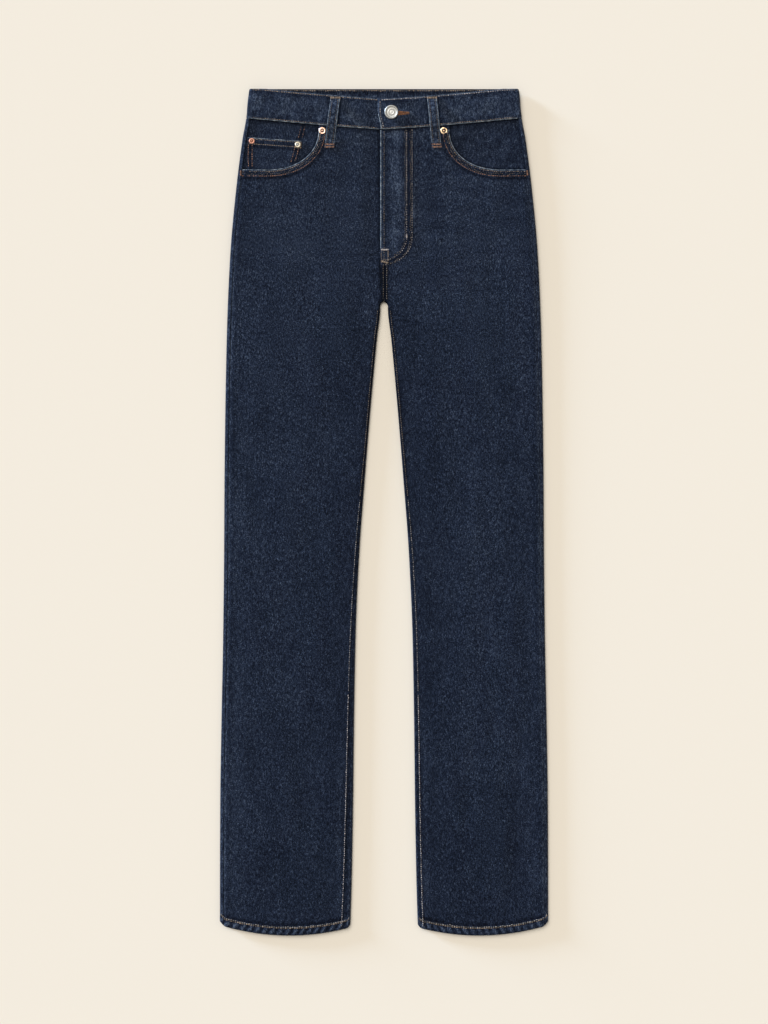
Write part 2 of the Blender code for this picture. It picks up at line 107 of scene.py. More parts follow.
SILHOUETTE_COLUMNS = ("y", "outer", "gap")
SILHOUETTE = (
    (-541.0, 210.0, 43.6),
    (-470.0, 210.0, 41.4),
    (-368.0, 209.6, 39.6),
    (-265.0, 208.0, 38.4),
    (-163.0, 206.0, 36.6),
    (-61.0, 204.8, 32.3),
    (42.0, 204.2, 24.8),
    (144.0, 202.9, 16.4),
    (221.0, 201.3, 9.3),
    (262.0, 200.0, 4.9),
    (333.0, 196.5, 4.9),
    (415.0, 189.0, 4.9),
    (477.0, 181.0, 4.9),
    (505.0, 176.2, 4.9),
    (541.2, 172.6, 4.9),
)
LAY_COLUMNS = ("y", "under", "top", "inseam_right", "inseam_left")
LAY = (
    (-541.0, 0.0, 6.0, 11.3, 6.7),
    (-300.0, 0.0, 6.0, 8.6, 6.0),
    (-60.0, 0.0, 6.0, 5.2, 4.7),
    (120.0, 0.0, 6.2, 2.4, 2.4),
    (255.0, 1.5, 6.6, 0.0, 0.0),
    (350.0, 1.5, 7.2, 0.0, 0.0),
    (430.0, 1.5, 7.6, 0.0, 0.0),
    (495.0, 2.9, 7.6, 0.0, 0.0),
    (541.2, 2.9, 7.6, 0.0, 0.0),
)

WAIST_DIP = 12.7
WAIST_DIP_REACH = 155.0
WAIST_CURVE = 1.2
BAND_FOOT_CENTRE_Y = 489.5
BAND_FOOT_SIDE_Y = 503.2
BAND_FOOT_REACH = 169.0
BAND_SIDE_X = 176.0
BAND_THICK = 2.3
BAND_FRONT_Z = 8.8
BAND_BACK_Z = box_mm("waistband")[0][2]
BAND_END_X = -6.0
BAND_UNDERLAP_X = 24.0
BAND_OVERLAP_RISE = 1.2
BAND_UNDERLAP_DROP = 1.5
BAND_RAMP = 20.0
BAND_RAMP_Y = (440.0, 460.0)
BAND_UNDERLAP_FREE_X = 8.0
BAND_OVERLAP_FREE_X = 26.0
BAND_LEAN_X = (61.0, 110.0)
BAND_END_COLUMNS = 12
BAND_ROWS_FOOT = 1.6
BAND_ROWS_HEAD = 1.7
BAND_STITCH_X = 168.0
BUTTONHOLE_BARS = 26
BUTTONHOLE_LENGTH = 14.6
BAND_LEVELS = (
    0.0, 0.3, 0.8, 1.6, 2.6, 4.0, 7.0, 10.5, 14.0, 17.5, 21.0, 24.5, 28.0, 31.0, 33.0, 34.4, 35.6, 36.6,
    37.3, 37.7, 38.0,
)

FLY_EDGE_X = -4.5
FLY_FOOT_Y = 330.0
FLY_WIDTH = 40.0
FLY_RAMP = 8.0
FLY_RISE = 0.6
UNDERLAP_X = 8.0
UNDERLAP_DROP = 0.9
UNDERLAP_RAMP_X = (12.0, 33.0)
FLY_ROWS_X = (29.0, 36.0)
FLY_BOW_Y = 353.0
FLY_END_Y = 316.0

POCKET_X = 150.0
POCKET_Y = 489.0
POCKET_REACH = 66.6
POCKET_DEPTH = 51.4
POCKET_POWER = 2.15
POCKET_BAND = 10.0
POCKET_RAMP_Y = (405.0, 425.0)
POCKET_ROWS = (2.3, 8.0)
SIDE_TACK_Y = 433.5
FACING_MARGIN = 8.0
FACING_DROP = 1.5
FACING_TUCK = 1.4
COIN_OUTER_X = 175.0
COIN_TOP_INNER_X = 105.0
COIN_FOOT_INNER_X = 113.0
COIN_TOP_OUTER_Y = 479.3
COIN_TOP_INNER_Y = 474.4
COIN_SEAM_X = 103.2
COIN_SEAM_TOP_Y = 494.0
COIN_SEAM_SLOPE = 0.27
COIN_ROWS = (2.0, 8.0)
COIN_FOOT_OUTER_Y = 441.5
COIN_FOOT_INNER_Y = 446.0
COIN_SQUARE = 3.9

YOKE_CENTRE_Y = 429.0
YOKE_SIDE_Y = 479.0
YOKE_SIDE_X = 181.0
BACK_POCKET = {"x": 92.0, "top": 421.0, "width": 132.0, "foot_width": 116.0, "height": 138.0, "point": 14.0}
BACK_POCKET_TILT = math.radians(3.0)
BACK_ROWS = (2.2, 7.2)

LOOP_WIDTH = 12.0
LOOP_CLOTH = 1.28
LOOP_ROWS_X = 3.7
LOOP_COLUMNS = ("y", "underside")
LOOP_PROFILE = (
    (531.4, 9.1),
    (527.5, 9.1),
    (523.0, 10.8),
    (518.0, 13.2),
    (514.0, 13.9),
    (499.0, 13.9),
    (494.0, 13.0),
    (486.0, 10.4),
    (480.0, 8.6),
    (475.0, 7.9),
    (465.2, 7.9),
)

# ---------------------------------------------------------------- forms


def column(table, columns, name, y):
    """The named column of a short table at y, on a smooth curve that never overshoots a row."""
    order = sorted(table)
    xs = np.array([row[0] for row in order])
    ys = np.array([row[columns.index(name)] for row in order])
    steps = np.diff(xs)
    slopes = np.diff(ys) / steps
    tangents = np.zeros(len(xs))
    tangents[0], tangents[-1] = slopes[0], slopes[-1]
    for i in range(1, len(xs) - 1):
        if slopes[i - 1] * slopes[i] > 0:
            tangents[i] = 2 / (1 / slopes[i - 1] + 1 / slopes[i])
    y = np.clip(np.asarray(y, float), xs[0], xs[-1])
    i = np.clip(np.searchsorted(xs, y, side="right") - 1, 0, len(steps) - 1)
    t = (y - xs[i]) / steps[i]
    return (
        ys[i] * (1 + 2 * t) * (1 - t) ** 2
        + ys[i + 1] * t * t * (3 - 2 * t)
        + tangents[i] * steps[i] * t * (1 - t) ** 2
        - tangents[i + 1] * steps[i] * t * t * (1 - t)
    )


def outline(name, y):
    return column(SILHOUETTE, SILHOUETTE_COLUMNS, name, y)


def lay(name, y):
    return column(LAY, LAY_COLUMNS, name, y)


def ease(low, high, value):
    t = np.clip((np.asarray(value, float) - low) / (high - low), 0.0, 1.0)
    return t * t * (3 - 2 * t)


def bell(distance, width):
    """1 at no distance, falling off softly over the width."""
    return np.exp(-((distance / width) ** 2))


def xyz(x, y, z):
    """Points from their coordinates, each an array or one number for all."""
    return np.stack(np.broadcast_arrays(x, y, z), axis=-1).astype(float)


WAVES = 7


def waves(x, y, length, seed):
    """Smooth uneven ripples between about -1 and 1, with the given lengths along x and y."""
    draw = np.random.default_rng(seed)
    total = 0.0
    for _ in range(WAVES):
        turn = draw.uniform(0, 2 * math.pi)
        kx = math.cos(turn) * draw.uniform(0.6, 1.3) * 2 * math.pi / length[0]
        ky = math.sin(turn) * draw.uniform(0.6, 1.3) * 2 * math.pi / length[1]
        total += np.sin(kx * x + ky * y + draw.uniform(0, 2 * math.pi))
    return total / math.sqrt(WAVES * 2)


def band_foot(x):
    share = np.minimum(np.abs(x) / BAND_FOOT_REACH, 1.0) ** WAIST_CURVE
    return BAND_FOOT_CENTRE_Y + (BAND_FOOT_SIDE_Y - BAND_FOOT_CENTRE_Y) * share


def band_head(x):
    share = np.minimum(np.abs(x) / WAIST_DIP_REACH, 1.0) ** WAIST_CURVE
    return TOP_Y - WAIST_DIP * (1 - share)


def yoke_line(x):
    return YOKE_CENTRE_Y + (YOKE_SIDE_Y - YOKE_CENTRE_Y) * np.minimum(np.abs(x) / YOKE_SIDE_X, 1.0)


def opening_y(x, margin=0.0):
    share = np.clip((POCKET_X - np.abs(x)) / (POCKET_REACH + margin), 0.0, 1.0)
    return POCKET_Y - (POCKET_DEPTH + margin) * (1 - share**POCKET_POWER) ** (1 / POCKET_POWER)


def opening_distance(x, y):
    """How far outside the pocket's opening a point of the front lies."""
    across = np.maximum((POCKET_X - x) / POCKET_REACH, 0.0)
    down = np.maximum((POCKET_Y - y) / POCKET_DEPTH, 1e-6)
    power = POCKET_POWER
    radius = (across**power + down**power) ** (1 / power)
    steepness = np.hypot(across ** (power - 1) / POCKET_REACH, down ** (power - 1) / POCKET_DEPTH)
    return (radius - 1) * radius ** (power - 1) / steepness


def opening_point(turn, margin=0.0):
    """A point of the opening's curve, or of one a margin outside it, from 0 inside to 90 degrees."""
    power = 2 / POCKET_POWER
    x = POCKET_X - (POCKET_REACH + margin) * np.cos(turn).clip(0.0) ** power
    return x, POCKET_Y - (POCKET_DEPTH + margin) * np.sin(turn).clip(0.0) ** power


def hem_line(share):
    chord = HEM_INNER_Y + (HEM_OUTER_Y - HEM_INNER_Y) * share
    corner = 2.6 * bell(share, 0.016) + 4.0 * bell(1 - share, 0.024)
    return chord - HEM_BOW * (1 - (2 * share - 1) ** 2) + corner


def leg_y(level, share):
    fade = 1 - ease(HEM_OUTER_Y, HEM_FADE_Y, level)
    return level + (hem_line(share) - HEM_OUTER_Y) * fade


def across_leg(x, y):
    """0 at the inner edge of a leg, 1 at its outer edge."""
    inner, outer = outline("gap", y), outline("outer", y)
    return np.clip((x - inner) / (outer - inner), 0.0, 1.0)


def above_hem(x, y):
    """How far a point of a leg lies above the hem's edge."""
    return y - hem_line(across_leg(x, y))


def bend_to_hem(row, level):
    """Drops the points of a row across a leg so that it runs along the hem's curve."""
    if level < HEM_FADE_Y:
        row[:, 1] = leg_y(level, across_leg(row[:, 0], row[:, 1]))
    return row


def leg_share(x, y):
    """0 at the inner edge of a leg or the centre front, 1 at its outer edge."""
    inner = np.where(y < ARCH_Y, outline("gap", y), 0.0)
    return np.clip((x - inner) / (outline("outer", y) - inner), 0.0, 1.0)


def fly_row_x(y, row):
    """The fly's curved row of stitches: its x at each y, on the wearer's left."""
    x = FLY_ROWS_X[row]
    foot = FLY_END_Y + 5.5 * (1 - row)
    drop = np.clip((FLY_BOW_Y - y) / (FLY_BOW_Y - foot), 0.0, 1.0)
    return FLY_EDGE_X + (x - FLY_EDGE_X) * np.sqrt(np.maximum(1 - drop**2.2, 0.0))


def roping(along, above, seed):
    """Diagonal rolls of a hem that has twisted as it was sewn and washed."""
    pitch = 9.5
    place = along + 0.55 * above + 1.5 * waves(along, 0 * along, (60, 60), seed)
    return np.sin(2 * math.pi * place / pitch) * bell(above - 5.0, 5.5)


def front_base(x, y, side):
    """The CAD height of the front's outer face."""
    z = lay("top", y)
    above = ease(FLY_FOOT_Y - 20, FLY_FOOT_Y, y)
    if side > 0:
        reach = FLY_EDGE_X + FLY_WIDTH
        return z + FLY_RISE * above * (1 - ease(reach, reach + FLY_RAMP, x))
    return z - UNDERLAP_DROP * above * (1 - ease(*UNDERLAP_RAMP_X, x))


def front_relief(x, y, side):
    """Soft troughs, ridges and seams of a front panel, above its CAD height. x is on its own side."""
    share = leg_share(x, y)
    leg = 1 - ease(*LEG_TOP_Y, y)
    middle = np.sin(math.pi * share)
    loft = (0.5 + 0.4 * leg) * middle
    soft = 0.42 * waves(x, y, (70, 170), 11 + side) + 0.2 * waves(x, y, (26, 60), 21 + side)
    relief = loft + soft * np.clip(middle * 1.6, 0.0, 1.0)
    # Whiskers run out and down from the crotch, and shallow drag lines cross the knee.
    for k in range(4):
        slope = 0.16 + 0.13 * k
        line = y - (CROTCH_Y + 22 + 17 * k + slope * (x - 10))
        relief += 0.3 * bell(line, 5.5) * ease(8, 30, x) * (1 - ease(60 + 14 * k, 120, x))
    for k in range(3):
        line = y - (-40 + 34 * k + (0.12 - 0.1 * k) * (x - 110))
        relief -= 0.16 * bell(line, 8) * bell(x - 120 + 12 * k, 48)
    above = above_hem(x, y)
    band = 1 - ease(HEM_BAND - 0.8, HEM_BAND + 0.8, above)
    relief += 0.5 * band - 0.35 * bell(above - HEM_BAND + 1.5, 1.0)
    relief += 0.34 * roping(x, above, 31 + side) + 0.12 * roping(x, above - 9, 33 + side)
    relief -= 0.7 * bell(above, 0.7)
    to_outseam = outline("outer", y) - OUTSEAM_INSET - x
    relief += 0.3 * bell(to_outseam - 5.5, 4.0) - 0.5 * bell(to_outseam, 0.8)
    # The opening of the pocket has a turned hem.
    away = opening_distance(x, y)
    rim = (1 - ease(POCKET_BAND - 0.7, POCKET_BAND + 0.7, away)) * ease(*POCKET_RAMP_Y, y)
    relief += 0.45 * rim - 0.5 * bell(away, 0.7) * ease(*POCKET_RAMP_Y, y)
    for row in POCKET_ROWS:
        relief -= 0.22 * bell(away - row, 0.9) * ease(*POCKET_RAMP_Y, y)
    if side > 0:
        hips = ease(FLY_END_Y - 4, FLY_END_Y + 4, y)
        for row in (0, 1):
            relief -= 0.28 * bell(x - fly_row_x(y, row), 1.3) * hips
        relief += 0.25 * bell(x - 33, 3) * ease(FLY_BOW_Y - 10, FLY_BOW_Y, y)
        relief -= 0.5 * bell(x - FLY_EDGE_X, 0.6) * ease(CROTCH_Y, CROTCH_Y + 20, y)
        relief += 0.12 * waves(x, y, (9, 8), 41) * bell(x - 32, 9) * hips
        relief += 0.2 * np.sin(y / 3.3) * bell(x - FLY_EDGE_X - 2, 3) * hips
    head = band_foot(x) - y
    relief -= 0.4 * bell(head, 1.2) * ease(*BAND_RAMP_Y, y)
    return relief


def front_tone(x, y, side):
    """How washed the denim is, with painted shade and shadow at its seams, folds and steps: above 0 is
    lighter, below 0 is darker.
    """
    share = leg_share(x, y)
    leg = 1 - ease(*LEG_WASH_Y, y)
    tone = -0.08 * leg + 0.035 * (1 - leg)
    tone += (0.08 if side > 0 else 0.12) * bell(share - 0.93, 0.13) * leg
    tone += 0.085 * bell(share - 0.52, 0.27) * leg * ease(-480.0, -200.0, y)
    tone += 0.035 * waves(x, y, (38, 90), 51 + side)
    to_outseam = outline("outer", y) - OUTSEAM_INSET - x
    tone += 0.22 * bell(to_outseam - 1.2, 1.4) - 0.08 * bell(to_outseam - 6.0, 3.0)
    above = above_hem(x, y)
    tone += 0.42 * roping(x, above, 31 + side) + 0.12 * bell(above - 5, 4)
    tone -= 0.3 * bell(above - 14.0, 2.4) * bell(share, 0.14)
    # Painted shade along the hem's stitched groove and just above its turned edge.
    tone -= 0.3 * bell(above - HEM_BAND - 2.0, 2.2) + 0.16 * bell(above - 10.2, 1.6)
    tone += 0.05 * waves(x, y, (120, 22), 61 + side) * ease(250.0, 340.0, y)
    seam = np.where(y < ARCH_Y, x - outline("gap", y), 99.0)
    tone += 0.14 * bell(seam - 17.0 + 4.0 * (side > 0), 2.5) * (1 - ease(-330.0, -250.0, y))
    away = opening_distance(x, y)
    hips = ease(*POCKET_RAMP_Y, y)
    # The opening's edge is worn lighter; the darker middle of its stitched band and the dark line below the
    # band are painted shade.
    tone += (0.3 * bell(away - 0.4, 1.0) - 0.16 * bell(away - 5.2, 3.4)) * hips
    tone += 0.16 * waves(x, y, (7, 6), 57) * bell(away - 5.2, 4.0) * hips
    tone -= 0.34 * bell(away - POCKET_BAND - 1.2, 1.5) * hips
    if side > 0:
        fly = ease(FLY_TACK_Y - 2, FLY_TACK_Y + 4, y)
        tone += 0.4 * bell(x - FLY_EDGE_X - 0.4, 1.0) * fly - 0.1 * bell(x - 2.5, 3.0) * fly
        tone += 0.17 * bell(x - 15, 7.0) * ease(330.0, 350.0, y)
        tone += 0.1 * waves(x, y, (12, 60), 59) * bell(x - 14, 12.0) * ease(330.0, 350.0, y)
        # Painted shade of the puckered stitching between the fly's curved rows.
        rows = (fly_row_x(y, 0) + fly_row_x(y, 1)) / 2
        tone -= 0.34 * bell(x - rows, 5.0) * ease(FLY_END_Y - 4, FLY_END_Y + 2, y)
        tone += 0.3 * bell(x - rows - 5.6, 1.0) * ease(FLY_BOW_Y - 6, FLY_BOW_Y + 6, y)
    else:
        # Painted shadow of the fly's overlap beside its edge.
        tone -= 0.4 * bell(x - 5.5, 3.0) * ease(CROTCH_Y + 25, CROTCH_Y + 50, y)
    # Painted shade down the middle of the crotch, where the fronts meet and the legs part.
    crotch = ease(CROTCH_Y - 12, CROTCH_Y - 4, y) * (1 - ease(FLY_END_Y - 4, FLY_END_Y + 3, y))
    tone -= 0.95 * bell(x, 4.6) * crotch
    # Painted shade along the inner edge, where the leg rolls under.
    tone -= 0.45 * bell(seam, 4.5) * ease(-300.0, 120.0, y)
    # Painted shadow under the waistband's foot.
    head = band_foot(x) - y
    return tone - 0.5 * bell(head, 2.4) * ease(*BAND_RAMP_Y, y)


def front_surface(x, y, side):
    """The height of the finished front. x is on the wearer's left when side is 1."""
    return front_base(x, y, side) + front_relief(x, y, side)


def fold_point(edge, inward, p, y):
    """Points p mm round a fold from the middle of its edge, with their normals."""
    top, under = lay("top", y), lay("under", y)
    radius = (top - under) / 2
    quarter = radius * math.pi / 2
    turn = np.clip(p, -quarter, quarter) / radius
    offset = radius * (1 - np.cos(turn)) + np.maximum(np.abs(p) - quarter, 0.0)
    z = (top + under) / 2 + radius * np.sin(turn)
    out = -np.cos(turn)
    point = xyz(edge[0] + inward[0] * offset, edge[1] + inward[1] * offset, z)
    return point, xyz(inward[0] * out, inward[1] * out, np.sin(turn))


def quarter_turn(y):
    return float(lay("top", y) - lay("under", y)) / 2 * math.pi / 2


# ---------------------------------------------------------------- meshes

SHELL_SHARP = 60.0
METAL_SHARP = 50.0


def on_the_floor(points):
    """Presses what would reach into the surface flat against it."""
    points = np.array(points, float)
    points[..., 2] = np.maximum(points[..., 2], FLOOR_Z + REST_CLEAR)
    return points


def link(name, data):
    """A new object in the scene, from a mesh, a light or a camera."""
    obj = bpy.data.objects.new(name, data)
    bpy.context.scene.collection.objects.link(obj)
    return obj


def finish_mesh(mesh, tones, materials, sharp=None):
    """Smooths a mesh and gives it its materials and, where there are any, its points' tones."""
    if tones is not None:
        attribute = mesh.attributes.new("tone", "FLOAT", "POINT")
        attribute.data.foreach_set("value", np.asarray(tones, np.float32))
    mesh.shade_smooth()
    if sharp is not None:
        mesh.set_sharp_from_angle(angle=math.radians(sharp))
    for material in materials:
        mesh.materials.append(material)
    return link(mesh.name, mesh)


def tube_faces(rings, sides):
    """The faces between rings of points that follow one another, and the two caps."""
    quads = []
    for k in range(rings - 1):
        for i in range(sides):
            a, b = k * sides + i, k * sides + (i + 1) % sides
            quads.append((a, b, b + sides, a + sides))
    last = (rings - 1) * sides
    return quads, [tuple(range(sides))[::-1], tuple(range(last, last + sides))]


def circle(sides):
    return 2 * math.pi * np.arange(sides) / sides


class Path:
    """A line of points, measured along its length."""

    def __init__(self, points):
        self.points = np.asarray(points, float)
        steps = np.linalg.norm(np.diff(self.points, axis=0), axis=1)
        self.run = np.concatenate([[0.0], np.cumsum(steps)])
        self.length = self.run[-1]

    def at(self, place):
        return np.stack([np.interp(place, self.run, self.points[:, k]) for k in range(3)], axis=-1)


def skin(name, points, normals, tones, thickness, materials, winding=1):
    """A closed thin shell of cloth from a grid of points, some of which may be missing (NaN).
    Its outer face uses the first material and its inner face and rim the second."""
    rows, cols, _ = points.shape
    valid = np.isfinite(points).all(axis=2)
    index = -np.ones((rows, cols), int)
    index[valid] = np.arange(valid.sum())
    outer = points[valid]
    inner = outer - normals[valid] * thickness
    quads = np.stack([index[:-1, :-1], index[:-1, 1:], index[1:, 1:], index[1:, :-1]], axis=-1)
    quads = quads.reshape(-1, 4)
    quads = quads[(quads >= 0).all(axis=1)]
    if winding < 0:
        quads = quads[:, ::-1]
    count = len(outer)
    edges = np.concatenate([quads[:, [k, (k + 1) % 4]] for k in range(4)])
    key = edges[:, 0] * (2 * count) + edges[:, 1]
    back = edges[:, 1] * (2 * count) + edges[:, 0]
    border = edges[~np.isin(key, back)]
    rim = np.stack([border[:, 1], border[:, 0], border[:, 0] + count, border[:, 1] + count], axis=-1)
    faces = np.concatenate([quads, quads[:, ::-1] + count, rim])
    vertices = on_the_floor(np.concatenate([outer, inner])) * MM
    mesh = bpy.data.meshes.new(name)
    mesh.vertices.add(len(vertices))
    mesh.vertices.foreach_set("co", vertices.ravel())
    mesh.loops.add(faces.size)
    mesh.loops.foreach_set("vertex_index", faces.ravel().astype(np.int32))
    mesh.polygons.add(len(faces))
    mesh.polygons.foreach_set("loop_start", np.arange(0, faces.size, 4, dtype=np.int32))
    mesh.polygons.foreach_set("loop_total", np.full(len(faces), 4, dtype=np.int32))
    slots = np.repeat([0, 1, 0], [len(quads), len(quads), len(rim)])
    mesh.polygons.foreach_set("material_index", slots.astype(np.int32))
    mesh.update(calc_edges=True)
    mesh.validate()
    return finish_mesh(mesh, np.tile(tones[valid], 2), materials, SHELL_SHARP)


def panel(node, side, points, normals, tones):
    """The shell of a piece worked out on the wearer's left, and mirrored for the right."""
    flip = np.array([side, 1.0, 1.0])
    return skin(f"denim_{node}", points * flip, normals * flip, tones, CLOTH, DENIM, side)


def settle(obj, node):
    """The piece stands for its CAD node and moves with the part."""
    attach(obj, "root")
    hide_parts(node)
    return obj


def spread(total, fine, coarse):
    """Distances from 0 to total: close together at both ends and coarse in the middle."""
    ends = [0.0]
    step = fine
    while step < coarse and ends[-1] + step < total * 0.4:
        ends.append(ends[-1] + step)
        step *= 1.35
    middle = np.linspace(ends[-1], total - ends[-1], max(int((total - 2 * ends[-1]) / coarse), 1) + 1)
    return np.concatenate([ends[:-1], middle, total - np.array(ends[:-1][::-1])])


# ---------------------------------------------------------------- cloth panels

FLAT_COLUMNS = 70
ARCH_STEPS = 8
HIP_ROWS = 104
FOLD_COLUMNS = 6
LEG_ROWS = 236
LEG_START = 21.5
HEM_LEVELS = (0.0, 0.5, 1.2, 2.2, 3.4, 4.8, 6.2, 7.6, 9.0, 10.0, 10.8, 11.5, 12.2, 13.2, 14.6, 16.4, 18.6)
UNDER_COLUMNS = 36
INNER_COLUMNS = 12
POCKET_COLUMNS = 24
SIDE_COLUMNS = 9
UPWARDS = (0.0, 0.0, 1.0)


def leg_rows(side):
    """Rows up a leg to the crotch: outer y, the edge's point, its inward normal, the inseam."""
    levels = [HEM_OUTER_Y + h for h in HEM_LEVELS]
    for level in levels + list(np.linspace(HEM_OUTER_Y + LEG_START, ARCH_Y, LEG_ROWS)):
        y = leg_y(level, 0.0)
        seam = float(lay(f"inseam_{WORDS[side]}", y))
        yield level, leg_y(level, 1.0), (outline("gap", y), y), (1.0, 0.0), seam
    for angle in np.linspace(0, math.pi / 2, ARCH_STEPS + 1)[1:]:
        height = CROTCH_Y - ARCH_Y
        outer_y = ARCH_Y + ARCH_RISE * angle / (math.pi / 2)
        edge = (ARCH_HALF_WIDTH * math.cos(angle) + HALF_GAP, ARCH_Y + height * math.sin(angle))
        normal = np.array([math.cos(angle) / ARCH_HALF_WIDTH, math.sin(angle) / height])
        normal = normal / np.linalg.norm(normal)
        yield outer_y, outer_y, edge, tuple(normal), 0.0


def outseam_x(y):
    return outline("outer", y) - OUTSEAM_INSET - HALF_GAP


def front_edge(y, side):
    seam = FLY_EDGE_X * ease(CROTCH_Y, CROTCH_Y + 24, y)
    if side > 0:
        return seam + HALF_GAP
    return np.where(y > FLY_FOOT_Y + 1, -UNDERLAP_X, -seam + HALF_GAP)


def column_shares():
    """The columns' places as shares of the width: in the legs, and at the head by the pocket."""
    legs = spread(1.0, 0.003, 1.0 / (FLAT_COLUMNS - 12))
    legs = np.interp(np.linspace(0, 1, FLAT_COLUMNS), np.linspace(0, 1, len(legs)), legs)
    curve = opening_point(np.linspace(0, math.pi / 2, POCKET_COLUMNS))[0]
    inner = FLAT_COLUMNS - POCKET_COLUMNS - SIDE_COLUMNS
    head = np.concatenate([
        FLY_EDGE_X + np.linspace(0, 1, inner) ** 1.1 * (curve[0] - 0.02 - FLY_EDGE_X),
        curve,
        np.linspace(POCKET_X + 3.0, outseam_x(POCKET_Y - POCKET_DEPTH), SIDE_COLUMNS),
    ])
    return legs, head, inner


def head_y(x, is_pocket):
    return np.where(is_pocket, opening_y(x), band_foot(x) - GAP)


def front_panel(side):
    """A front panel, from its hem to the waistband and the pocket's opening."""
    legs, head, inner = column_shares()
    columns = np.arange(FLAT_COLUMNS)
    is_pocket, is_side = columns >= inner, columns >= inner + POCKET_COLUMNS
    points, normals = [], []
    for level, outer_y, edge, inward, seam in leg_rows(side):
        y = edge[1]
        quarter = quarter_turn(y)
        stop = max(quarter + 0.5, seam + 3.0)
        round_edge = np.linspace(seam + HALF_GAP, stop, FOLD_COLUMNS + 1)
        fold, fold_normal = fold_point(edge, inward, round_edge, y)
        x = fold[-1, 0] + (outseam_x(outer_y) - fold[-1, 0]) * legs
        row_y = fold[-1, 1] + (outer_y - fold[-1, 1]) * legs
        flat = xyz(x, row_y, lay("top", row_y))
        points.append(bend_to_hem(np.concatenate([fold[:-1], flat]), level))
        normals.append(np.concatenate([fold_normal[:-1], np.tile(UPWARDS, (FLAT_COLUMNS, 1))]))
    base = points[-1][FOLD_COLUMNS:]
    top_y = head_y(head, is_pocket)
    for t in np.linspace(0, 1, HIP_ROWS + 1)[1:]:
        y = base[:, 1] + (top_y - base[:, 1]) * t
        start, end = front_edge(y, side), outseam_x(y)
        plain = start + (end - start) * legs
        at_fly = (start - FLY_EDGE_X - HALF_GAP) * (1 - columns / inner).clip(0, 1)
        at_side = (end - head[-1]) * (head - POCKET_X) / (head[-1] - POCKET_X)
        bent = head + np.where(is_side, at_side, at_fly)
        x = plain + (bent - plain) * ease(0.15, 0.85, t)
        flat = xyz(x, y, front_base(x, y, side))
        points.append(np.concatenate([np.full((FOLD_COLUMNS, 3), np.nan), flat]))
        normals.append(np.concatenate([np.zeros((FOLD_COLUMNS, 3)), np.tile(UPWARDS, (FLAT_COLUMNS, 1))]))
    points, normals = np.array(points), np.array(normals)
    x, y = points[..., 0], points[..., 1]
    flatness = np.clip(normals[..., 2], 0.0, 1.0) ** 2
    relief = front_relief(x, y, side) * flatness
    relief[:, 0] -= 0.25
    points = points + normals * relief[..., None]
    # Painted shade darkens the fold where it turns away from above.
    tones = front_tone(x, y, side) - 0.25 * (1 - flatness)
    return panel(f"front_{WORDS[side]}", side, points, normals, tones)


def back_relief(x, y, normal_z):
    """Seams and hem of a back panel where it shows on top, and shallow hollows underneath."""
    above = above_hem(x, y)
    band = 1 - ease(HEM_BAND - 0.8, HEM_BAND + 0.8, above)
    up = np.clip(normal_z, 0.0, 1.0)
    relief = 0.4 * band * up + 0.3 * roping(x, above, 35) * (0.3 + 0.7 * up) - 0.5 * bell(above, 0.7)
    under = np.clip(-normal_z, 0.0, 1.0)
    hollow = 0.35 + 0.3 * waves(x, y, (60, 130), 61) + 0.25 * bell(above - HEM_BAND, 1.5)
    return relief - np.clip(hollow, 0.0, 1.2) * under * ease(0.0, 25.0, above)


def back_strip(y):
    """The back panel from the outseam on top, round the side of the leg, to the underside."""
    quarter = quarter_turn(y)
    radius = quarter * 2 / math.pi
    start = quarter + OUTSEAM_INSET - HALF_GAP - radius
    on_top = np.linspace(start, quarter, 4)[:-1]
    p = np.concatenate([[start, start - 0.35], on_top[1:], np.linspace(quarter, -quarter, 11)])
    return fold_point((outline("outer", y), y), (-1.0, 0.0), p, y)


def underside(start, end, y_start, y_end, count):
    share = np.linspace(0, 1, count + 1)
    x = start + (end - start) * share
    y = y_start + (y_end - y_start) * share
    return xyz(x, y, lay("under", y)), np.tile([0.0, 0.0, -1.0], (count + 1, 1))


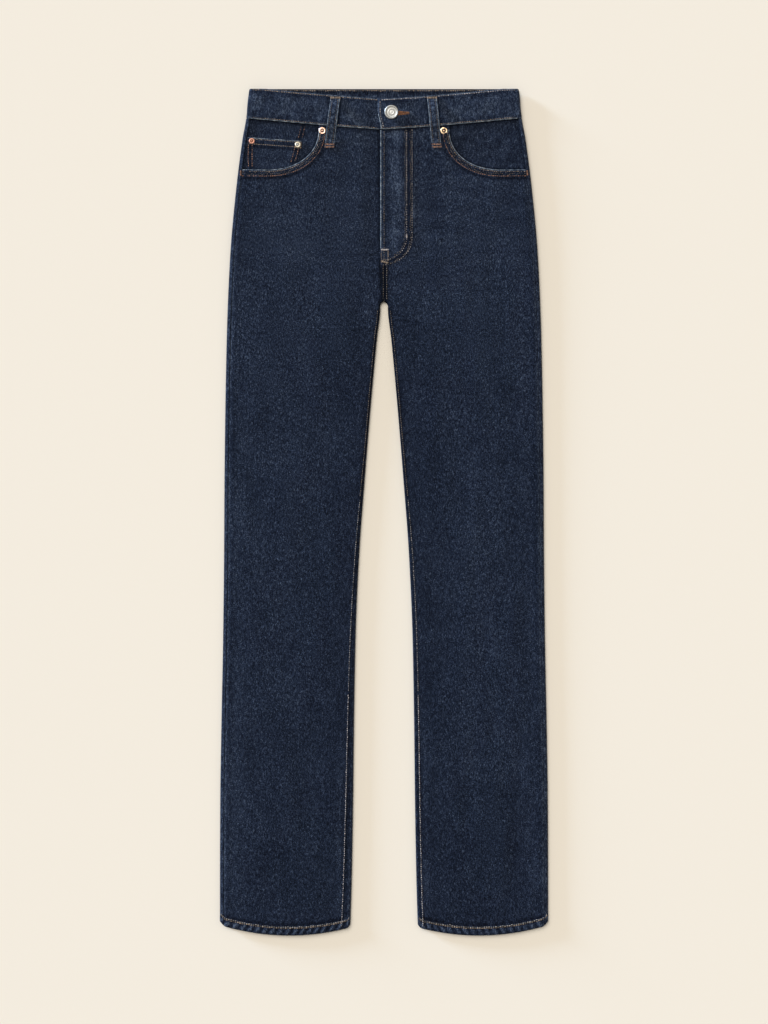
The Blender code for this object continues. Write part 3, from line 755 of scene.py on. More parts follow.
def back_panel(side):
    points, normals = [], []
    for level, outer_y, edge, inward, seam in leg_rows(side):
        outer, outer_normal = back_strip(outer_y)
        y = edge[1]
        quarter = quarter_turn(y)
        round_edge = np.linspace(-quarter, seam - HALF_GAP, INNER_COLUMNS + 1)
        inner, inner_normal = fold_point(edge, inward, round_edge, y)
        flat, flat_normal = underside(outer[-1, 0], inner[0, 0], outer[-1, 1], inner[0, 1], UNDER_COLUMNS)
        points.append(bend_to_hem(np.concatenate([outer[:-1], flat[:-1], inner]), level))
        normals.append(np.concatenate([outer_normal[:-1], flat_normal[:-1], inner_normal]))
    low_outer, low_inner = points[-1][0, 1], points[-1][-INNER_COLUMNS - 1, 1]
    for share in np.linspace(0, 1, 61)[1:]:
        outer_y = low_outer + (YOKE_SIDE_Y - HALF_GAP - low_outer) * share
        inner_y = low_inner + (YOKE_CENTRE_Y - HALF_GAP - low_inner) * share
        row, row_normal = wrapped_row(outer_y, inner_y)
        missing = np.full((INNER_COLUMNS, 3), np.nan)
        points.append(np.concatenate([row, missing]))
        normals.append(np.concatenate([row_normal, np.zeros((INNER_COLUMNS, 3))]))
    points, normals = np.array(points), np.array(normals)
    x, y = points[..., 0], points[..., 1]
    relief = back_relief(x, y, normals[..., 2])
    top = np.clip(normals[..., 2], 0.0, 1.0)
    relief[:, 0] -= 0.45
    relief[:, 1:4] += 0.25 * top[:, 1:4]
    # Painted light and shade: lighter where the cloth faces up, darker where it turns down the side, at the
    # outseam's edge and where the inseam tucks under the front.
    tones = 0.02 + 0.1 * top + 0.3 * roping(x, above_hem(x, y), 35)
    tones -= 0.06 * (1 - np.abs(normals[..., 2]))
    tones[:, 0] -= 0.25
    tones[:, -4:] -= 0.3
    tones += 0.08 * waves(x, y, (30, 14), 63) * top
    points = points + normals * relief[..., None]
    return panel(f"back_{WORDS[side]}", side, points, normals, tones)


def wrapped_row(outer_y, inner_y):
    outer, outer_normal = back_strip(outer_y)
    flat, flat_normal = underside(outer[-1, 0], HALF_GAP, outer[-1, 1], inner_y, UNDER_COLUMNS)
    return np.concatenate([outer[:-1], flat]), np.concatenate([outer_normal[:-1], flat_normal])


def yoke(side):
    points, normals = [], []
    top_y = BAND_FOOT_SIDE_Y - GAP
    for share in np.linspace(0, 1, 31):
        outer_y = YOKE_SIDE_Y + HALF_GAP + (top_y - YOKE_SIDE_Y - HALF_GAP) * share
        inner_y = YOKE_CENTRE_Y + HALF_GAP + (top_y - YOKE_CENTRE_Y - HALF_GAP) * share
        row, row_normal = wrapped_row(outer_y, inner_y)
        points.append(row)
        normals.append(row_normal)
    points, normals = np.array(points), np.array(normals)
    x, y = points[..., 0], points[..., 1]
    up = np.clip(normals[..., 2], 0.0, 1.0)
    relief = 0.3 * up - 0.2 * np.clip(0.5 + waves(x, y, (40, 30), 71), 0.0, 1.0) * (1 - up)
    relief[:, 0] -= 0.4
    points = points + normals * relief[..., None]
    # Painted light: lighter where the cloth faces up.
    tones = 0.06 + 0.1 * up + 0.06 * waves(x, y, (30, 20), 73)
    return panel(f"yoke_{WORDS[side]}", side, points, normals, tones)


def facing(side):
    """The denim inside a front pocket's opening."""
    inner_x = POCKET_X - POCKET_REACH - FACING_MARGIN + 0.1
    share = np.linspace(0, 1, 60)
    reach = OUTSEAM_INSET - FACING_TUCK
    foot_x = inner_x + (outline("outer", POCKET_Y - POCKET_DEPTH) - reach - inner_x) * share
    head_x = inner_x + (outline("outer", BAND_FOOT_SIDE_Y) - reach - inner_x) * share
    foot = opening_y(foot_x, FACING_MARGIN)
    head = band_foot(head_x) + 5.0
    rise = np.linspace(0, 1, 44)[:, None]
    x = foot_x + (head_x - foot_x) * rise
    y = foot + (head - foot) * rise
    points = xyz(x, y, facing_surface(x, y))
    normals = np.tile(UPWARDS, (*x.shape, 1))
    away = -opening_distance(x, y)
    # Painted shadow just inside the opening, under the waistband's foot and along the outseam.
    tones = 0.01 + 0.09 * waves(x, y, (24, 14), 81 + side) - 0.4 * (1 - ease(0.0, 4.0, away))
    tones -= 0.4 * bell(band_foot(x) - y, 3.0) + 0.2 * bell(outseam_x(y) - x, 3.0)
    if side < 0:
        tones -= 0.32 * bell(x - coin_seam_x(y), 3.2) * ease(474.0, 477.0, y)
    return panel(f"pocket_facing_{WORDS[side]}", side, points, normals, tones)


def coin_seam_x(y):
    """The facing's seam that runs up from the coin pocket's inner corner."""
    return COIN_SEAM_X + (COIN_SEAM_TOP_Y - y) * COIN_SEAM_SLOPE


def facing_surface(x, y):
    puff = 0.5 * waves(x, y, (34, 26), 83) * ease(2.0, 14.0, -opening_distance(x, y))
    return lay("top", y) - FACING_DROP + puff * 0.5


def coin_surface(x, y):
    return lay("top", y) - FACING_DROP + GAP + CLOTH + 0.15 * waves(x, y, (24, 18), 87)


def coin_head_y(x):
    """The coin pocket's upper edge."""
    share = (x - COIN_TOP_INNER_X) / (COIN_OUTER_X - COIN_TOP_INNER_X)
    return COIN_TOP_INNER_Y + (COIN_TOP_OUTER_Y - COIN_TOP_INNER_Y) * share


def coin_pocket():
    share = np.linspace(0, 1, 44)
    foot_x = COIN_FOOT_INNER_X + (COIN_OUTER_X - COIN_FOOT_INNER_X) * share
    head_x = COIN_TOP_INNER_X + (COIN_OUTER_X - COIN_TOP_INNER_X) * share
    foot = opening_y(foot_x) + 3 * GAP
    head = coin_head_y(head_x)
    rise = [np.linspace(0, 0.7, 18)[:-1], np.linspace(0.7, 0.97, 12)[:-1], [0.97, 0.985, 1.0]]
    rise = np.concatenate(rise)[:, None]
    x = foot_x + (head_x - foot_x) * rise
    y = foot + (head - foot) * rise
    below = head - y
    z = coin_surface(x, y) + 0.4 * (1 - ease(9.0, 10.4, below)) - 0.5 * bell(below, 0.8)
    z -= 0.2 * bell(below - 2.0, 0.9) + 0.2 * bell(below - 8.0, 0.9)
    z -= 0.4 * bell(x - COIN_OUTER_X, 0.9) + 0.4 * bell(x - x[:, :1], 0.9)
    points, normals = xyz(x, y, z), np.tile(UPWARDS, (*x.shape, 1))
    tones = 0.02 + 0.08 * waves(x, y, (20, 14), 89)
    # The top edge is worn lighter; painted shade darkens the cloth just below the hemmed band and between
    # its rows.
    tones += 0.2 * bell(below - 0.6, 1.1) - 0.3 * bell(below - 11.4, 1.5)
    tones -= 0.12 * bell(below - 5.0, 2.4) + 0.3 * bell(COIN_OUTER_X - x - 4.0, 3.2)
    tones -= 0.25 * bell(x - x[:, :1] - 4.0, 3.2)
    return panel("coin_pocket", -1, points, normals, tones)


# ---------------------------------------------------------------- waistband and loops


def band_right_z(x):
    """The waistband's flat height on the wearer's right, lower under the overlap."""
    free = ease(BAND_UNDERLAP_FREE_X, BAND_UNDERLAP_FREE_X + BAND_RAMP, -x)
    return BAND_FRONT_Z - BAND_UNDERLAP_DROP * (1 - free)


def band_left_z(x):
    """The waistband's flat height on the wearer's left, higher on the overlap."""
    free = ease(BAND_OVERLAP_FREE_X, BAND_OVERLAP_FREE_X + BAND_RAMP, x)
    return BAND_FRONT_Z + BAND_OVERLAP_RISE * (1 - free)


def band_path():
    """The waistband seen from above: x, height, share on the front and turn of the normal."""
    radius = (BAND_FRONT_Z - BAND_BACK_Z) / 2
    flat_end = BAND_SIDE_X - radius
    parts = []

    def add(x, z, front, turn):
        parts.append(np.stack(np.broadcast_arrays(x, z, front, turn), axis=-1))

    def corner(side, turn):
        angle = np.radians(turn)
        z = (BAND_FRONT_Z + BAND_BACK_Z) / 2 + radius * np.sin(angle)
        add(side * (flat_end + radius * np.cos(angle)), z, (turn + 90) / 180, turn)

    right = np.linspace(BAND_UNDERLAP_X, -flat_end, 96)
    turn = np.linspace(90.0, -90.0, 14)[1:-1]
    end = BAND_END_X + np.array([2, 1.2, 0.6, 0.2, 0.0])
    left = np.concatenate([np.linspace(flat_end, end[0], 84)[:-1], end])
    add(right, band_right_z(right), 1.0, 90.0)
    corner(-1, turn)
    add(np.linspace(-flat_end, flat_end, 120), BAND_BACK_Z, 0.0, -90.0)
    corner(1, turn[::-1])
    add(left, band_left_z(left), 1.0, 90.0)
    return np.concatenate(parts)


def band_end_bow(y):
    """The overlapping end leans out a little at the top."""
    return 2.2 - 4.0 * ease(BAND_FOOT_CENTRE_Y, BAND_FOOT_CENTRE_Y + 24.0, y)


def band_edges(x, front):
    """The y of the waistband's foot and head, curved on the front and straight on the back."""
    foot = band_foot(x) * front + BAND_FOOT_SIDE_Y * (1 - front)
    return foot, band_head(x) * front + TOP_Y * (1 - front)


def band_front_z(x, y):
    """The height of the waistband's front face, on either side of the overlap."""
    return np.where(x < BAND_END_X, band_right_z(x), band_left_z(x)) + band_relief(x, y, 1.0)


def band_relief(x, y, front):
    foot, head = band_edges(x, front)
    low, high = y - foot, head - y
    relief = 0.28 * waves(x, y, (30, 26), 91) + 0.12 * waves(x, y, (9, 22), 93)
    relief *= np.clip(np.minimum(low, high) / 6.0, 0.0, 1.0)
    relief += 0.16 * waves(x, y, (8, 10), 94) * bell(low - 6.0, 4.0)
    relief -= bell(low, 0.7) + bell(high, 0.7)
    relief -= 0.3 * bell(low - BAND_ROWS_FOOT, 0.6) + 0.3 * bell(high - BAND_ROWS_HEAD, 1.0)
    return relief + 0.1 * np.sin(x / 1.7 + 2 * waves(x, 0 * x, (40, 40), 95)) * bell(high - 4.5, 3)


def waistband():
    path = band_path()
    share = np.array(BAND_LEVELS[::-1])[:, None] / BAND_LEVELS[-1]
    foot, head = band_edges(path[:, 0], path[:, 2])
    y = foot + (head - foot) * share
    x, z, front, turn = (path[:, k] + 0 * y for k in range(4))
    lean = (outline("outer", y) / BAND_SIDE_X - 1) * ease(*BAND_LEAN_X, np.abs(x))
    place = np.arange(len(path)) - (len(path) - BAND_END_COLUMNS)
    px = x * (1 + lean) + band_end_bow(y) * place.clip(0) / (BAND_END_COLUMNS - 1)
    to_end = np.where(place >= 0, x - BAND_END_X, 99.0)
    radians = np.radians(turn)
    normals = xyz(np.sign(x) * np.cos(radians), 0.0, np.sin(radians))
    relief = band_relief(x, y, front)
    relief = np.where(turn < -80, np.minimum(relief, 0.0), relief) - 0.7 * bell(to_end, 0.5)
    points = xyz(px, y, z) + normals * relief[..., None]
    low, high = y - foot, head - y
    tones = 0.14 + 0.02 * front + 0.1 * waves(px, y, (34, 16), 97) + 0.07 * waves(px, y, (11, 24), 98)
    tones += 0.2 * bell(low - 0.6, 0.9) + 0.1 * bell(high - 0.8, 1.0)
    tones -= 0.22 * bell(high - 4.6, 2.2) + 0.16 * bell(low - 5.0, 2.4)
    tones += 0.16 * waves(px, y, (9, 10), 99) * bell(low - 6.0, 5.0)
    tones += 0.25 * bell(to_end - 0.5, 1.1)
    # Painted shadow beside each front loop.
    for word in WORDS.values():
        away = np.abs(px - loop_centre_x(y, f"belt_loop_front_{word}")) - LOOP_WIDTH / 2
        tones -= 0.3 * bell(away - 1.2, 1.8) * front
    return skin("denim_waistband", points, normals, tones, BAND_THICK, BAND_DENIM)


def loop_centre_x(y, node):
    """The centre of a front loop, which leans outwards towards its foot."""
    low, high = box_mm(node)
    top_x, foot_x = high[0] - LOOP_WIDTH / 2, low[0] + LOOP_WIDTH / 2
    if abs(top_x) > abs(foot_x):
        top_x, foot_x = foot_x, top_x
    return top_x + (foot_x - top_x) * (high[1] - y) / (high[1] - low[1])


def loop_top(y):
    """The height of a front loop's upper face."""
    return column(LOOP_PROFILE, LOOP_COLUMNS, "underside", y) + LOOP_CLOTH


def loop_skin(node, x, y, z, up):
    """A belt loop: a folded strip with a soft ridge down its middle and two grooves where its rows of
    stitches lie.
    """
    x, y, z = np.broadcast_arrays(x, y, z)
    u = np.linspace(-1, 1, x.shape[1]) + 0 * x
    dome = 0.35 * (1 - u**4) - 0.25 * bell(np.abs(u) - 0.62, 0.12) + 0.12 * bell(u, 0.3)
    dome += 0.08 * waves(x, y, (8, 9), 101)
    tones = 0.22 + 0.25 * bell(np.abs(u) - 0.88, 0.14) - 0.2 * bell(np.abs(u) - 0.5, 0.14)
    tones += 0.1 * bell(u, 0.2) + 0.2 * waves(x, y, (6, 7), 103)
    normals = np.tile([0.0, 0.0, float(up)], (*x.shape, 1))
    return skin(f"denim_{node}", xyz(x, y, z + up * dome), normals, tones, LOOP_CLOTH, DENIM, up)


def front_loop(word):
    node = f"belt_loop_front_{word}"
    low, high = box_mm(node)
    y = np.linspace(low[1], high[1], 56)[:, None]
    x = loop_centre_x(y, node) + np.linspace(-0.5, 0.5, 15) * LOOP_WIDTH
    return loop_skin(node, x, y, loop_top(y), 1)


def back_loop(word):
    node = f"belt_loop_back_{word}"
    low, high = box_mm(node)
    y = np.linspace(low[1], high[1], 40)[:, None]
    return loop_skin(node, np.linspace(low[0], high[0], 13), y, low[2] + 0.35, -1)


def pocket_corner(side, u, v):
    """A point of a back pocket from its own sideways and downward directions."""
    tilt = side * BACK_POCKET_TILT
    x = side * BACK_POCKET["x"] + u * np.cos(tilt) - v * np.sin(tilt)
    return x, BACK_POCKET["top"] + u * np.sin(tilt) + v * np.cos(tilt)


def back_pocket(side):
    p = BACK_POCKET
    u = np.linspace(-1, 1, 57)[None, :]
    t = spread(1.0, 0.006, 0.025)[:, None]
    straight = p["height"] - p["point"]
    half = p["width"] / 2 + (p["foot_width"] - p["width"]) / 2 * t
    x_local = u * half
    foot = -straight - p["point"] * (1 - np.abs(u))
    y_local = foot * t
    x, y = pocket_corner(side, x_local, y_local)
    edge = np.minimum(half * (1 - np.abs(u)), np.minimum(-y_local, y_local - foot))
    z = 0.3 + 0.25 * bell(edge, 0.8) + 0.1 * bell(edge - 2.0, 0.8) + 0.1 * waves(x, y, (30, 30), 107)
    z = np.maximum(z, 0.05)
    tones = 0.06 + 0.25 * bell(edge, 1.5) - 0.12 * bell(edge - 4.5, 2.5) + 0.08 * waves(x, y, (26, 26), 109)
    normals = np.tile([0.0, 0.0, -1.0], (*x.shape, 1))
    return skin(f"denim_back_pocket_{WORDS[side]}", xyz(x, y, z), normals, tones, POCKET_CLOTH, DENIM)


# ---------------------------------------------------------------- stitches and edges

RING_SIDES = 6
# A stitch's rings: place along it, size, and how far they sink, as shares of its length and width.
STITCH_RINGS = ((-0.5, 0.45, -0.55), (-0.34, 0.95, -0.1), (0.34, 0.95, -0.1), (0.5, 0.45, -0.55))
STITCH_FLAT = 0.36
STITCH_LIFT = 0.18
LEAN = 0.09
TACK_LEAN = 0.22


class Threads:
    """Gathers stitches, each a small padded bar lying on the cloth, and makes one mesh of them."""

    def __init__(self, seed):
        self.draw = np.random.default_rng(seed)
        self.bars = []

    def bar(self, centre, along, length, width, up=1.0):
        self.bars.append((*centre, *along, length, width, up))

    def row(self, points, pitch=3.1, width=0.8, length=2.0, up=1.0, wander=0.12):
        """A row of stitches along a path of points."""
        path = Path(points)
        count = max(int(path.length / pitch), 1)
        for place in (np.arange(count) + 0.5) * path.length / count:
            start, end = path.at(place - length / 2), path.at(place + length / 2)
            along = (end - start) / max(np.linalg.norm(end - start), 1e-9)
            across = np.array([-along[1], along[0], 0.0])
            centre = (start + end) / 2 + across * self.draw.normal(0, wander)
            lean = along + across * self.draw.normal(0, LEAN)
            long = length * self.draw.uniform(0.88, 1.08)
            self.bar(centre, lean / np.linalg.norm(lean), long, width, up)

    def tack(self, start, end, depth, pitch=0.62, width=0.62, up=1.0):
        """A bar tack: close stitches across the line from start to end."""
        start, end = np.asarray(start, float), np.asarray(end, float)
        line = end - start
        count = int(np.linalg.norm(line) / pitch)
        along = line / np.linalg.norm(line)
        across = np.array([-along[1], along[0], 0.0])
        for k in range(count):
            centre = start + line * (k + 0.5) / count + across * self.draw.normal(0, 0.15)
            lean = across + along * (TACK_LEAN if k % 2 else -TACK_LEAN)
            long = depth * self.draw.uniform(0.85, 1.1)
            self.bar(centre, lean / np.linalg.norm(lean), long, width, up)

    def make(self, name, material):
        bars = np.array(self.bars)
        centre, along, length, width, up = bars[:, :3], bars[:, 3:6], bars[:, 6], bars[:, 7], bars[:, 8]
        across = xyz(-along[:, 1], along[:, 0], 0.0)
        across = across / np.linalg.norm(across, axis=1)[:, None]
        above = np.cross(along, across)
        above = above * np.sign(above[:, 2])[:, None] * up[:, None]
        rings = []
        for place, size, sink in STITCH_RINGS:
            for a in circle(RING_SIDES):
                sideways = 0.5 * width * size * math.cos(a)
                upwards = width * (STITCH_FLAT * size * math.sin(a) + 0.5 * sink + STITCH_LIFT)
                offsets = ((along, place * length), (across, sideways), (above, upwards))
                rings.append(centre + sum(way * amount[:, None] for way, amount in offsets))
        vertices = on_the_floor(np.stack(rings, axis=1).reshape(-1, 3))
        count, per = len(bars), len(rings)
        faces = []
        for part in tube_faces(len(STITCH_RINGS), RING_SIDES):
            part = np.array(part)
            every = part[None] + per * np.arange(count)[:, None, None]
            faces += [tuple(face) for face in every.reshape(-1, part.shape[1]).tolist()]
        mesh = bpy.data.meshes.new(name)
        mesh.from_pydata((vertices * MM).tolist(), [], faces)
        obj = finish_mesh(mesh, np.repeat(self.draw.uniform(-1, 1, count), per), [material])
        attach(obj, "root")
        return obj


ROLL_STEP = 1.1
ROLL_SIDES = 8


def roll(name, points, width, height, tone, seed):
    """A rounded, worn edge of folded denim along a path of points."""
    path = Path(points)
    count = max(int(path.length / ROLL_STEP), 4)
    places = np.linspace(0, path.length, count)
    centre = path.at(places)
    along = np.gradient(centre, axis=0)
    along = along / np.linalg.norm(along, axis=1)[:, None]
    across = xyz(-along[:, 1], along[:, 0], 0.0)
    uneven = 1 + 0.22 * waves(places, 0 * places, (7, 7), seed)
    angles = circle(ROLL_SIDES)
    sideways = 0.5 * width * uneven[:, None] * np.cos(angles)
    upwards = 0.5 * height * uneven[:, None] * np.sin(angles)
    vertices = centre[:, None] + across[:, None] * sideways[..., None] + xyz(0.0, 0.0, upwards)
    quads, caps = tube_faces(count, ROLL_SIDES)
    mesh = bpy.data.meshes.new(name)
    mesh.from_pydata((vertices.reshape(-1, 3) * MM).tolist(), [], quads + caps)
    tones = tone + 0.3 * waves(places, 0 * places, (9, 9), seed + 1)
    obj = finish_mesh(mesh, np.repeat(tones, ROLL_SIDES), [WORN_DENIM])
    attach(obj, "root")
    return obj


# ---------------------------------------------------------------- materials


def new_material(name):
    material = bpy.data.materials.new(name)
    material.use_nodes = True
    return material, material.node_tree.nodes, material.node_tree.links


def math_node(nodes, links, kind, *inputs):
    """A math node whose inputs are numbers or other nodes' outputs."""
    node = nodes.new("ShaderNodeMath")
    node.operation = kind
    for socket, value in zip(node.inputs, inputs):
        if isinstance(value, (int, float)):
            socket.default_value = value
        else:
            links.new(value, socket)
    return node.outputs[0]


def noise_node(nodes, links, scale, detail):
    """Noise in the object's own metres, with a scale for each axis in waves per metre."""
    place = nodes.new("ShaderNodeTexCoord")
    mapping = nodes.new("ShaderNodeMapping")
    mapping.inputs["Scale"].default_value = scale
    links.new(place.outputs["Object"], mapping.inputs["Vector"])
    noise = nodes.new("ShaderNodeTexNoise")
    noise.inputs["Scale"].default_value = 1.0
    noise.inputs["Detail"].default_value = detail
    links.new(mapping.outputs["Vector"], noise.inputs["Vector"])
    return noise.outputs["Fac"]


def twill(nodes, links):
    """The diagonal lines of the weave, between -1/2 and 1/2."""
    place = nodes.new("ShaderNodeTexCoord")
    mapping = nodes.new("ShaderNodeMapping")
    mapping.inputs["Rotation"].default_value = (0.0, 0.0, TWILL_TURN)
    links.new(place.outputs["Object"], mapping.inputs["Vector"])
    wave = nodes.new("ShaderNodeTexWave")
    wave.inputs["Scale"].default_value = math.pi / 10 / (TWILL_PITCH * MM)
    wave.inputs["Distortion"].default_value = 1.2
    wave.inputs["Detail"].default_value = 1.0
    links.new(mapping.outputs["Vector"], wave.inputs["Vector"])
    return math_node(nodes, links, "SUBTRACT", wave.outputs["Fac"], 0.5)


DENIM_NOISE = (
    # share of the tone, waves per metre along x, y and z, detail
    (1.18, (620.0, 260.0, 400.0), 2.0),
    (1.45, (1000.0, 760.0, 800.0), 1.0),
    (0.14, (60.0, 38.0, 50.0), 2.0),
    (0.14, (13.0, 8.0, 10.0), 2.0),
)
TWILL_PITCH = 0.9
TWILL_TURN = math.radians(27.0)
TWILL_SHARE = 0.14
INDIGO = (
    (0.00, (0.0012, 0.0024, 0.0066)),
    (0.30, (0.0046, 0.0080, 0.0178)),
    (0.50, (0.0098, 0.0152, 0.0308)),
    (0.72, (0.0225, 0.0325, 0.0580)),
    (0.88, (0.0410, 0.0570, 0.0930)),
    (1.00, (0.0820, 0.1080, 0.1560)),
)
WORN = (
    (0.00, (0.0180, 0.0260, 0.0450)),
    (0.50, (0.1250, 0.1620, 0.2050)),
    (1.00, (0.4200, 0.4500, 0.4700)),
)
WEFT = (
    (0.00, (0.0100, 0.0130, 0.0230)),
    (0.50, (0.0480, 0.0580, 0.0850)),
    (1.00, (0.1500, 0.1650, 0.1950)),
)


def denim_material(name, ramp_stops, gain=1.0):
    material, nodes, links = new_material(name)
    shader = nodes["Principled BSDF"]
    tone = nodes.new("ShaderNodeAttribute")
    tone.attribute_name = "tone"
    total = math_node(nodes, links, "MULTIPLY_ADD", tone.outputs["Fac"], 0.85, 0.5)
    fine = None
    for share, scale, detail in DENIM_NOISE:
        noise = noise_node(nodes, links, scale, detail)
        centred = math_node(nodes, links, "SUBTRACT", noise, 0.5)
        total = math_node(nodes, links, "MULTIPLY_ADD", centred, share * gain, total)
        if detail == 1.0:
            fine = math_node(nodes, links, "ADD", fine, noise)
        elif fine is None:
            fine = noise
    weave = twill(nodes, links)
    total = math_node(nodes, links, "MULTIPLY_ADD", weave, TWILL_SHARE, total)
    fine = math_node(nodes, links, "MULTIPLY_ADD", weave, 0.8, fine)
    ramp = nodes.new("ShaderNodeValToRGB")
    ramp.color_ramp.interpolation = "LINEAR"
    stops = ramp.color_ramp.elements
    while len(stops) < len(ramp_stops):
        stops.new(0.5)
    for stop, (place, colour) in zip(stops, ramp_stops):
        stop.position = place
        stop.color = (*colour, 1.0)
    links.new(total, ramp.inputs["Fac"])
    links.new(ramp.outputs["Color"], shader.inputs["Base Color"])
    shader.inputs["Roughness"].default_value = 0.88
    shader.inputs["Specular IOR Level"].default_value = 0.06
    shader.inputs["Sheen Weight"].default_value = 0.02
    shader.inputs["Sheen Roughness"].default_value = 0.6
    bump = nodes.new("ShaderNodeBump")
    bump.inputs["Strength"].default_value = 0.45
    bump.inputs["Distance"].default_value = 0.0005
    links.new(fine, bump.inputs["Height"])
    links.new(bump.outputs["Normal"], shader.inputs["Normal"])
    return material


def thread_material(name, dark, light):
    material, nodes, links = new_material(name)
    shader = nodes["Principled BSDF"]
    tone = nodes.new("ShaderNodeAttribute")
    tone.attribute_name = "tone"
    share = math_node(nodes, links, "MULTIPLY_ADD", tone.outputs["Fac"], 0.5, 0.5)
    mix = nodes.new("ShaderNodeMix")
    mix.data_type = "RGBA"
    mix.inputs["A"].default_value = (*dark, 1.0)
    mix.inputs["B"].default_value = (*light, 1.0)
    links.new(share, mix.inputs["Factor"])
    links.new(mix.outputs["Result"], shader.inputs["Base Color"])
    shader.inputs["Roughness"].default_value = 0.7
    return material


def plain_material(name, colour, roughness, metallic=0.0):
    material, nodes, _ = new_material(name)
    shader = nodes["Principled BSDF"]
    shader.inputs["Base Color"].default_value = (*colour, 1.0)
    shader.inputs["Roughness"].default_value = roughness
    shader.inputs["Metallic"].default_value = metallic
    return material


OUTER_DENIM = denim_material("denim_outer", INDIGO)
INNER_DENIM = denim_material("denim_inner", WEFT)
WORN_DENIM = denim_material("denim_worn", WORN, 0.8)
DENIM = (OUTER_DENIM, INNER_DENIM)
BAND_DENIM = (OUTER_DENIM, OUTER_DENIM)
GOLD = thread_material("thread_gold", (0.030, 0.024, 0.020), (0.40, 0.29, 0.20))
ORANGE = thread_material("thread_orange", (0.040, 0.022, 0.016), (0.42, 0.21, 0.12))
RUST = thread_material("thread_rust", (0.040, 0.016, 0.008), (0.30, 0.12, 0.045))
PALE = thread_material("thread_pale", (0.08, 0.07, 0.07), (0.62, 0.54, 0.50))
DULL = thread_material("thread_dull", (0.035, 0.032, 0.032), (0.34, 0.30, 0.27))
DIM = thread_material("thread_dim", (0.018, 0.017, 0.018), (0.16, 0.12, 0.085))
STEEL = plain_material("steel", (0.45, 0.45, 0.43), 0.46, 1.0)
STEEL_DARK = plain_material("steel_shade", (0.34, 0.34, 0.33), 0.45, 1.0)
STEEL_WORN = plain_material("steel_worn", (0.62, 0.56, 0.44), 0.4, 1.0)
COPPER = plain_material("copper", (0.94, 0.62, 0.46), 0.34, 1.0)
COPPER_GOLD = plain_material("copper_gold", (0.93, 0.68, 0.42), 0.34, 1.0)
COPPER_DULL = plain_material("copper_dull", (0.52, 0.26, 0.19), 0.45, 1.0)
COPPER_DARK = plain_material("copper_shade", (0.34, 0.14, 0.075), 0.5, 1.0)

# ---------------------------------------------------------------- metal


# Rings from the foot up: radius and height as shares of the node's own, and the material's slot.
BUTTON = (
    (0.50, 0.00, 1), (0.52, 0.28, 1), (0.94, 0.34, 1), (0.99, 0.46, 0), (1.00, 0.60, 0), (0.98, 0.76, 0),
    (0.93, 0.90, 0), (0.87, 0.97, 0), (0.81, 0.95, 0), (0.77, 0.86, 0), (0.74, 0.76, 1), (0.70, 0.72, 0),
    (0.52, 0.74, 0), (0.44, 0.76, 0), (0.41, 0.84, 0), (0.37, 0.84, 0), (0.34, 0.78, 1), (0.20, 0.83, 0),
    (0.06, 0.86, 0),
)
RIVET = (
    (0.90, 0.00, 1), (0.98, 0.10, 1), (1.00, 0.28, 0), (0.95, 0.52, 0), (0.84, 0.70, 0), (0.68, 0.76, 0),
    (0.52, 0.66, 0), (0.40, 0.44, 1), (0.36, 0.36, 1), (0.33, 0.40, 1), (0.28, 0.70, 1), (0.17, 0.92, 1),
    (0.06, 1.00, 0),
)
RIVET_SINK = 0.1
BEADS = 22
BEAD_CIRCLE = 0.61
BEAD_FOOT = 0.68
BEAD_RADIUS = 0.06
BEAD_HEIGHT = 0.12
BEAD_RINGS = ((1.0, 0.0), (0.85, 0.6), (0.45, 0.95))
BEAD_SIDES = 8


def turned(node, name, profile, materials, steps, size=1.0, sink=0.0, beads=0):
    """A turned piece on its CAD node, from rings that are shares of the node's radius and height,
    from the foot to the centre of the top, with a ring of beads where there are any."""
    low, high = box_mm(node)
    foot = np.array([(low[0] + high[0]) / 2, (low[1] + high[1]) / 2, low[2]])
    radius, height = (high[0] - low[0]) / 2 * size, high[2] - low[2]
    vertices = []

    def ring(centre, reach, rise, sides):
        a = circle(sides)
        vertices.extend(xyz(centre[0] + reach * np.cos(a), centre[1] + reach * np.sin(a), centre[2] + rise))

    for k, (reach, rise, _) in enumerate(profile):
        ring(foot, radius * reach, height * rise - sink * (k == 0), steps)
    quads, caps = tube_faces(len(profile), steps)
    faces = quads + caps
    slots = np.repeat([row[2] for row in profile[1:]], steps).tolist() + [profile[0][2], profile[-1][2]]
    for a in circle(beads):
        base = len(vertices)
        reach = radius * BEAD_CIRCLE
        centre = foot + (reach * math.cos(a), reach * math.sin(a), height * BEAD_FOOT)
        for reach, rise in BEAD_RINGS:
            ring(centre, radius * BEAD_RADIUS * reach, height * BEAD_HEIGHT * rise, BEAD_SIDES)
        quads, caps = tube_faces(len(BEAD_RINGS), BEAD_SIDES)
        faces += [tuple(base + v for v in face) for face in quads + caps]
        slots += [0] * len(quads + caps)
    mesh = bpy.data.meshes.new(name)
    mesh.from_pydata((np.array(vertices) * MM).tolist(), [], faces)
    mesh.polygons.foreach_set("material_index", np.array(slots, np.int32))
    return finish_mesh(mesh, None, materials, METAL_SHARP)


def metal_button():
    """A shank button: a rolled rim, a sunken ring of beads and a plain domed middle."""
    return turned("button", "steel_button", BUTTON, (STEEL, STEEL_DARK), 64, beads=BEADS)


def metal_rivet(node, size, metal, shade):
    return turned(node, f"metal_{node}", RIVET, (metal, shade), 40, size, RIVET_SINK)


# ---------------------------------------------------------------- sewing


def on_front(x, y, side, lift=0.0):
    """Points on the finished front, from their distance out on that side and their y."""
    x, y = np.broadcast_arrays(np.asarray(x, float), np.asarray(y, float))
    return xyz(side * x, y, front_surface(x, y, side) + lift)


